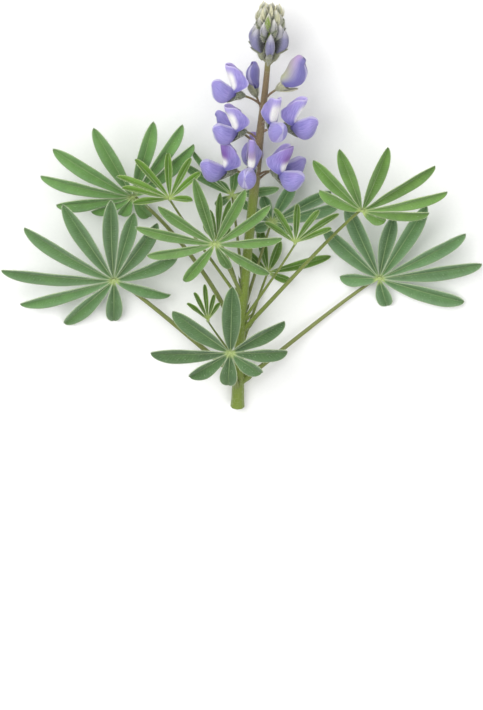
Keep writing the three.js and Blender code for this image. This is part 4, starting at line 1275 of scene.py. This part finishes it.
def leaflet_rings(blade, leaf, i, rng):
    """One leaflet. Out from the hub its half width is s^0.85 (1 - s)^0.54, kept inside its own sector; its
    halves rise from the rib as a soft V, and the whole arches by sin(cup) s - arch s^2. A small twist, bend
    and wave are drawn for each leaflet."""
    degrees, length = blade.leaflets[i]
    angle = math.radians(degrees)
    outward = blade.across * math.cos(angle) + blade.away * math.sin(angle)
    side = np.cross(blade.normal, outward)
    cup = math.radians(leaf["cup"])
    width = leaf["width"] * (0.72 + 0.28 * min(1, length / (0.6 * blade.longest)))
    young = 1 - leaf["age"]

    share = np.sin(np.linspace(0.02, 1, 34) * np.pi / 2) ** 1.15
    v = np.linspace(-1, 1, LEAFLET_ACROSS)
    outline = share**0.85 * (1 - share) ** 0.54 / OUTLINE_PEAK
    free = 0.5 * width * (1.02 - 0.24 * young**6) * outline
    stalk = 0.34 * (1 - step(share, 0.0, 0.4))
    out = length * share * math.cos(cup)

    def kept(degrees_between):
        """The free half width, held smoothly within the sector by (free^-4 + sector^-4)^(-1/4), and no
        less than the short stalk."""
        sector = out * math.tan(math.radians(min(degrees_between / 2, WIDEST_SECTOR))) * SECTOR_SHARE
        return np.maximum((free**-4.0 + np.maximum(sector, 0.05) ** -4.0) ** -0.25, stalk)

    before = (degrees - blade.leaflets[i - 1][0]) % 360
    after = (blade.leaflets[(i + 1) % len(blade.leaflets)][0] - degrees) % 360
    with np.errstate(divide="ignore"):
        right, left = (np.maximum(kept(between), 0.05)[:, None] for between in (before, after))
    half = np.where(v < 0, right, left)
    aside = half * v
    fold = BLADE_FOLD * (1.3 + 2.3 * young**6 + rng.normal(0, 0.08))
    fold = fold + 0.5 * (1 - step(share, 0.0, 0.35))[:, None]
    rise = fold * np.abs(aside) * (1.18 - 0.3 * np.abs(v))
    wave = 0.16 * np.sin(share[:, None] * rng.uniform(9, 15) + rng.uniform(0, 6) + v) * v**2
    twist = rng.normal(0, 0.1) * share[:, None] + 0.02
    bend = rng.normal(0, 0.022) * length * share[:, None] ** 2
    droop = leaf["arch"] * rng.uniform(0.85, 1.2)
    lift = length * (math.sin(cup) * share - droop * share**2)[:, None]
    turned_aside = aside * np.cos(twist) - rise * np.sin(twist) + bend
    turned_rise = aside * np.sin(twist) + rise * np.cos(twist) + wave * outline[:, None]
    groove = -0.16 * np.exp(-((aside / 0.28) ** 2)) * step(share, 0.02, 0.2)[:, None]
    ridge = 0.3 * np.exp(-((aside / 0.3) ** 2)) * (1 - 0.7 * share)[:, None]
    thick = 0.26 + 0.16 * (1 - v**2) * np.minimum(outline, 1)[:, None]

    def layer(up):
        """The leaflet's face, raised by so much along the blade's normal."""
        return (
            blade.hub
            + outward * out[:, None, None]
            + side * turned_aside[..., None]
            + blade.normal * (lift + turned_rise + up)[..., None]
        )

    rings = np.concatenate([layer(groove), layer(-thick - ridge)[:, ::-1]], 1)
    # Painted shade: the leaflets that point up the stem are darkened as if shaded.
    upward_shade = leaf.get("upward_shade", 0.0) * max(math.sin(angle), 0.0) ** 3
    marks = dict(
        along=(share * length)[:, None],
        reach=share[:, None],
        across=both_faces(v[None]),
        aside=both_faces(aside),
        edge=both_faces((1 - np.abs(v)) * half * (1 + young)),
        top=np.repeat([1.0, 0.0], LEAFLET_ACROSS)[None],
        tip=step(share, 0.965, 1.0)[:, None],
        age=leaf["age"],
        down=leaf.get("down", 0.12 + 0.85 * leaf["age"]),
        tone=rng.uniform(0, 1) + leaf.get("bright", 0.0) - upward_shade,
    )
    return rings, marks


def hub_rings(blade, leaf):
    """The hub, where the leaflets meet: a low button with a knuckle for each of them."""
    size = blade.hub_radius * (0.75 + 0.25 * leaf["age"])
    centres = blade.hub + blade.normal * (HUB_PROFILE[:, :1] + 0.1)
    angles = turns(32)
    knuckles = 1 + 0.12 * np.cos(len(blade.leaflets) * angles)
    radius = (HUB_PROFILE[:, 1] * size)[:, None] * knuckles
    return ovals(centres, blade.across, blade.away, radius, radius, angles)


def leaf_stalk(blade, leaf):
    """The leaf stalk: a nearly straight Bezier curve from the stem to the hub, thickest at the stem, with
    five low ridges."""
    centre = stem_frame(leaf["at"])[0]
    end = blade.hub - blade.normal * 0.9
    chord = end - centre
    reach = np.linalg.norm(chord)
    aside = unit(np.array([chord[1], -chord[0], 0.0])) * -leaf.get("bow", 0)
    first = centre + chord * 0.3 + aside * 1.5
    last = centre + chord * 0.75 + aside * 0.9 - blade.normal * reach * 0.05
    share = np.linspace(0, 1, 46)
    path = bezier([centre, first, last, end], share)
    radius = 0.78 * (0.3 + 0.017 * blade.longest) * (1.25 - 0.5 * share)
    from_stem = share * reach
    radius = radius * (1 + 0.5 * np.exp(-((from_stem / 4.5) ** 2)) + 0.25 * step(share, 0.95, 1.0))
    rings = tube(path, radius, 14)
    groove = 1 + 0.05 * np.cos(5 * turns(14))
    middle = rings.mean(1, keepdims=True)
    return share, middle + (rings - middle) * groove[None, :, None]


def stipules(blade, leaf):
    """The two stipules of a leaf: narrow green blades that stand up on either side of the foot of its
    stalk. Each follows the stalk, parts from it sideways, and narrows to a point."""
    centre, along, _ = stem_frame(leaf["at"])
    toward = unit(blade.hub - centre)
    aside = unit(np.cross(toward, [0.0, 0.0, 1.0]))
    size = 3.2 + 0.07 * blade.longest
    share = np.linspace(0, 1, 12)
    half = 0.62 * np.sin(0.5 + 2.4 * share) * (1 - 0.94 * step(share, 0.5, 1.0))
    flat = unit(np.cross(toward, aside))
    start = centre + toward * stem_radius(leaf["at"]) * 0.75
    for side in (1, -1):
        out = (0.75 + 0.3 * share + 0.8 * share**2)[:, None] * aside * side
        path = start + out + (share * size)[:, None] * toward + (0.25 * size * share**2)[:, None] * along
        yield share, ovals(path, aside * side, flat, half, 0.3 * half + 0.08, turns(8))


def build_leaves():
    """Each leaf's blade, of leaflets and hub, and its stalk with two stipules."""
    for name, leaf in LEAVES.items():
        age = leaf["age"]
        rng = np.random.default_rng(len(name) * 101 + int(leaf["at"]))
        blade = Blade(leaf)
        slot = "leaf_young" if name in YOUNG_SLOT else "leaf"
        node = "leaf_" + name
        skins = Skins()
        for i, (_, length) in enumerate(blade.leaflets):
            rings, marks = leaflet_rings(blade, leaf, i, rng)
            skins.add(rings, **marks)
            fringe = int(length * (3.5 + 3.5 * age))
            kept = dict(width=0.04, stretch=(0.12, 1.0), spread=0.3)
            for rim in LEAFLET_RIMS:
                leaf_hairs.add(rings, fringe, length=0.55, lean=0.8, columns=rim, **kept)
            down = int(length * leaf["width"] * (0.3 + 0.4 * age))
            leaf_down.add(rings, down, length=0.6, lean=2.6, width=0.028, stretch=(0.08, 1.0), spread=0.3)

        rings = hub_rings(blade, leaf)
        skins.add(rings, age=age, **HUB_MARKS)
        leaf_hairs.add(rings, 70, length=0.6, lean=0.5, width=0.03)
        skins.build("blade_" + name, LEAF, slot, node)

        stalk = Skins()
        share, rings = leaf_stalk(blade, leaf)
        light = (0.3 + 0.45 * age) * step(share, 0.02, 0.3)
        brown = 0.2 * age * step(share, 0.05, 0.25) * (1 - step(share, 0.85, 1.0))
        height = share * LEAF_STALK_SPAN
        stalk.add(
            rings,
            height=height[:, None],
            across=round_mark(rings),
            light=light[:, None],
            brown=brown[:, None],
        )
        for run, blades in stipules(blade, leaf):
            brown = 0.3 * step(run, 0.6, 1.0)
            stalk.add(blades, height=(run * STIPULE_SPAN)[:, None], across=0.2, brown=brown[:, None])
            stem_hairs.add(blades, 40, length=0.5, lean=0.6, width=0.028)
        stalk.build("leaf_stalk_" + name, STEM, slot, node)
        reach = np.linalg.norm(rings[-1, 0] - rings[0, 0])
        stem_hairs.add(rings, int(6 * reach), length=0.55, lean=0.5, width=0.028)


# ---- The whole spike ----

build_stem()
build_flowers()
build_large_buds()
build_head()
build_leaves()

stem_hairs.build("stem_hairs", SILVER_HAIR, "stem")
sepal_hairs.build("sepal_hairs", SILVER_HAIR, "young_bud")
bud_hairs.build("bud_hairs", SILVER_HAIR, "bud")
leaf_hairs.build("leaf_rim_hairs", LEAF_HAIR, "leaf")
leaf_down.build("leaf_down", LEAF_HAIR, "leaf")


# ---- Surface, light and camera ----

def build_floor():
    """A large flat card under the part, just below the frame's zero."""
    half = 2.5
    mesh = bpy.data.meshes.new("floor")
    corners = [(-half, -half, 0), (half, -half, 0), (half, half, 0), (-half, half, 0)]
    mesh.from_pydata(corners, [], [(0, 1, 2, 3)])
    mesh.materials.append(floor_finish())
    floor = bpy.data.objects.new("floor", mesh)
    bpy.context.scene.collection.objects.link(floor)


def soft_box(name, place, size, power):
    """A square area light, in metres and watts. It faces the frame's zero, under the middle of the part."""
    lamp = bpy.data.lights.new(name, "AREA")
    lamp.shape = "SQUARE"
    lamp.size = size
    lamp.energy = power
    light = bpy.data.objects.new(name, lamp)
    bpy.context.scene.collection.objects.link(light)
    light.location = place
    light.rotation_euler = Vector(place).to_track_quat("Z", "Y").to_euler()


def light_scene():
    """A pale even studio, a large soft light from the upper left and a weak one from the right."""
    world = bpy.data.worlds.new("studio")
    bpy.context.scene.world = world
    world.use_nodes = True
    plug(world.node_tree.nodes["Background"], {"Color": (1, 1, 1, 1), "Strength": 0.57})
    soft_box("key", (-0.7, 0.9, 1.5), size=1.4, power=30)
    soft_box("fill", (0.9, -0.3, 1.3), size=1.2, power=7)


def place_camera():
    """Looks down on the stem as the photograph looks at it standing: 20 degrees above square to the
    stem."""
    target = settle(VIEW_CENTRE)
    tilt = math.radians(VIEW_ELEVATION)
    camera = bpy.data.cameras.new("camera")
    camera.sensor_fit = "VERTICAL"
    camera.angle_y = 2 * math.atan(PHOTO_HEIGHT * PIXEL_SPAN * METRE / 2 / VIEW_DISTANCE)
    camera.clip_end = 30
    holder = bpy.data.objects.new("camera", camera)
    bpy.context.scene.collection.objects.link(holder)
    holder.location = target + np.array([0, math.sin(tilt), math.cos(tilt)]) * VIEW_DISTANCE
    holder.rotation_euler = (-tilt, 0, 0)
    bpy.context.scene.camera = holder


build_floor()
light_scene()
place_camera()
bpy.context.scene.view_settings.view_transform = "Standard"
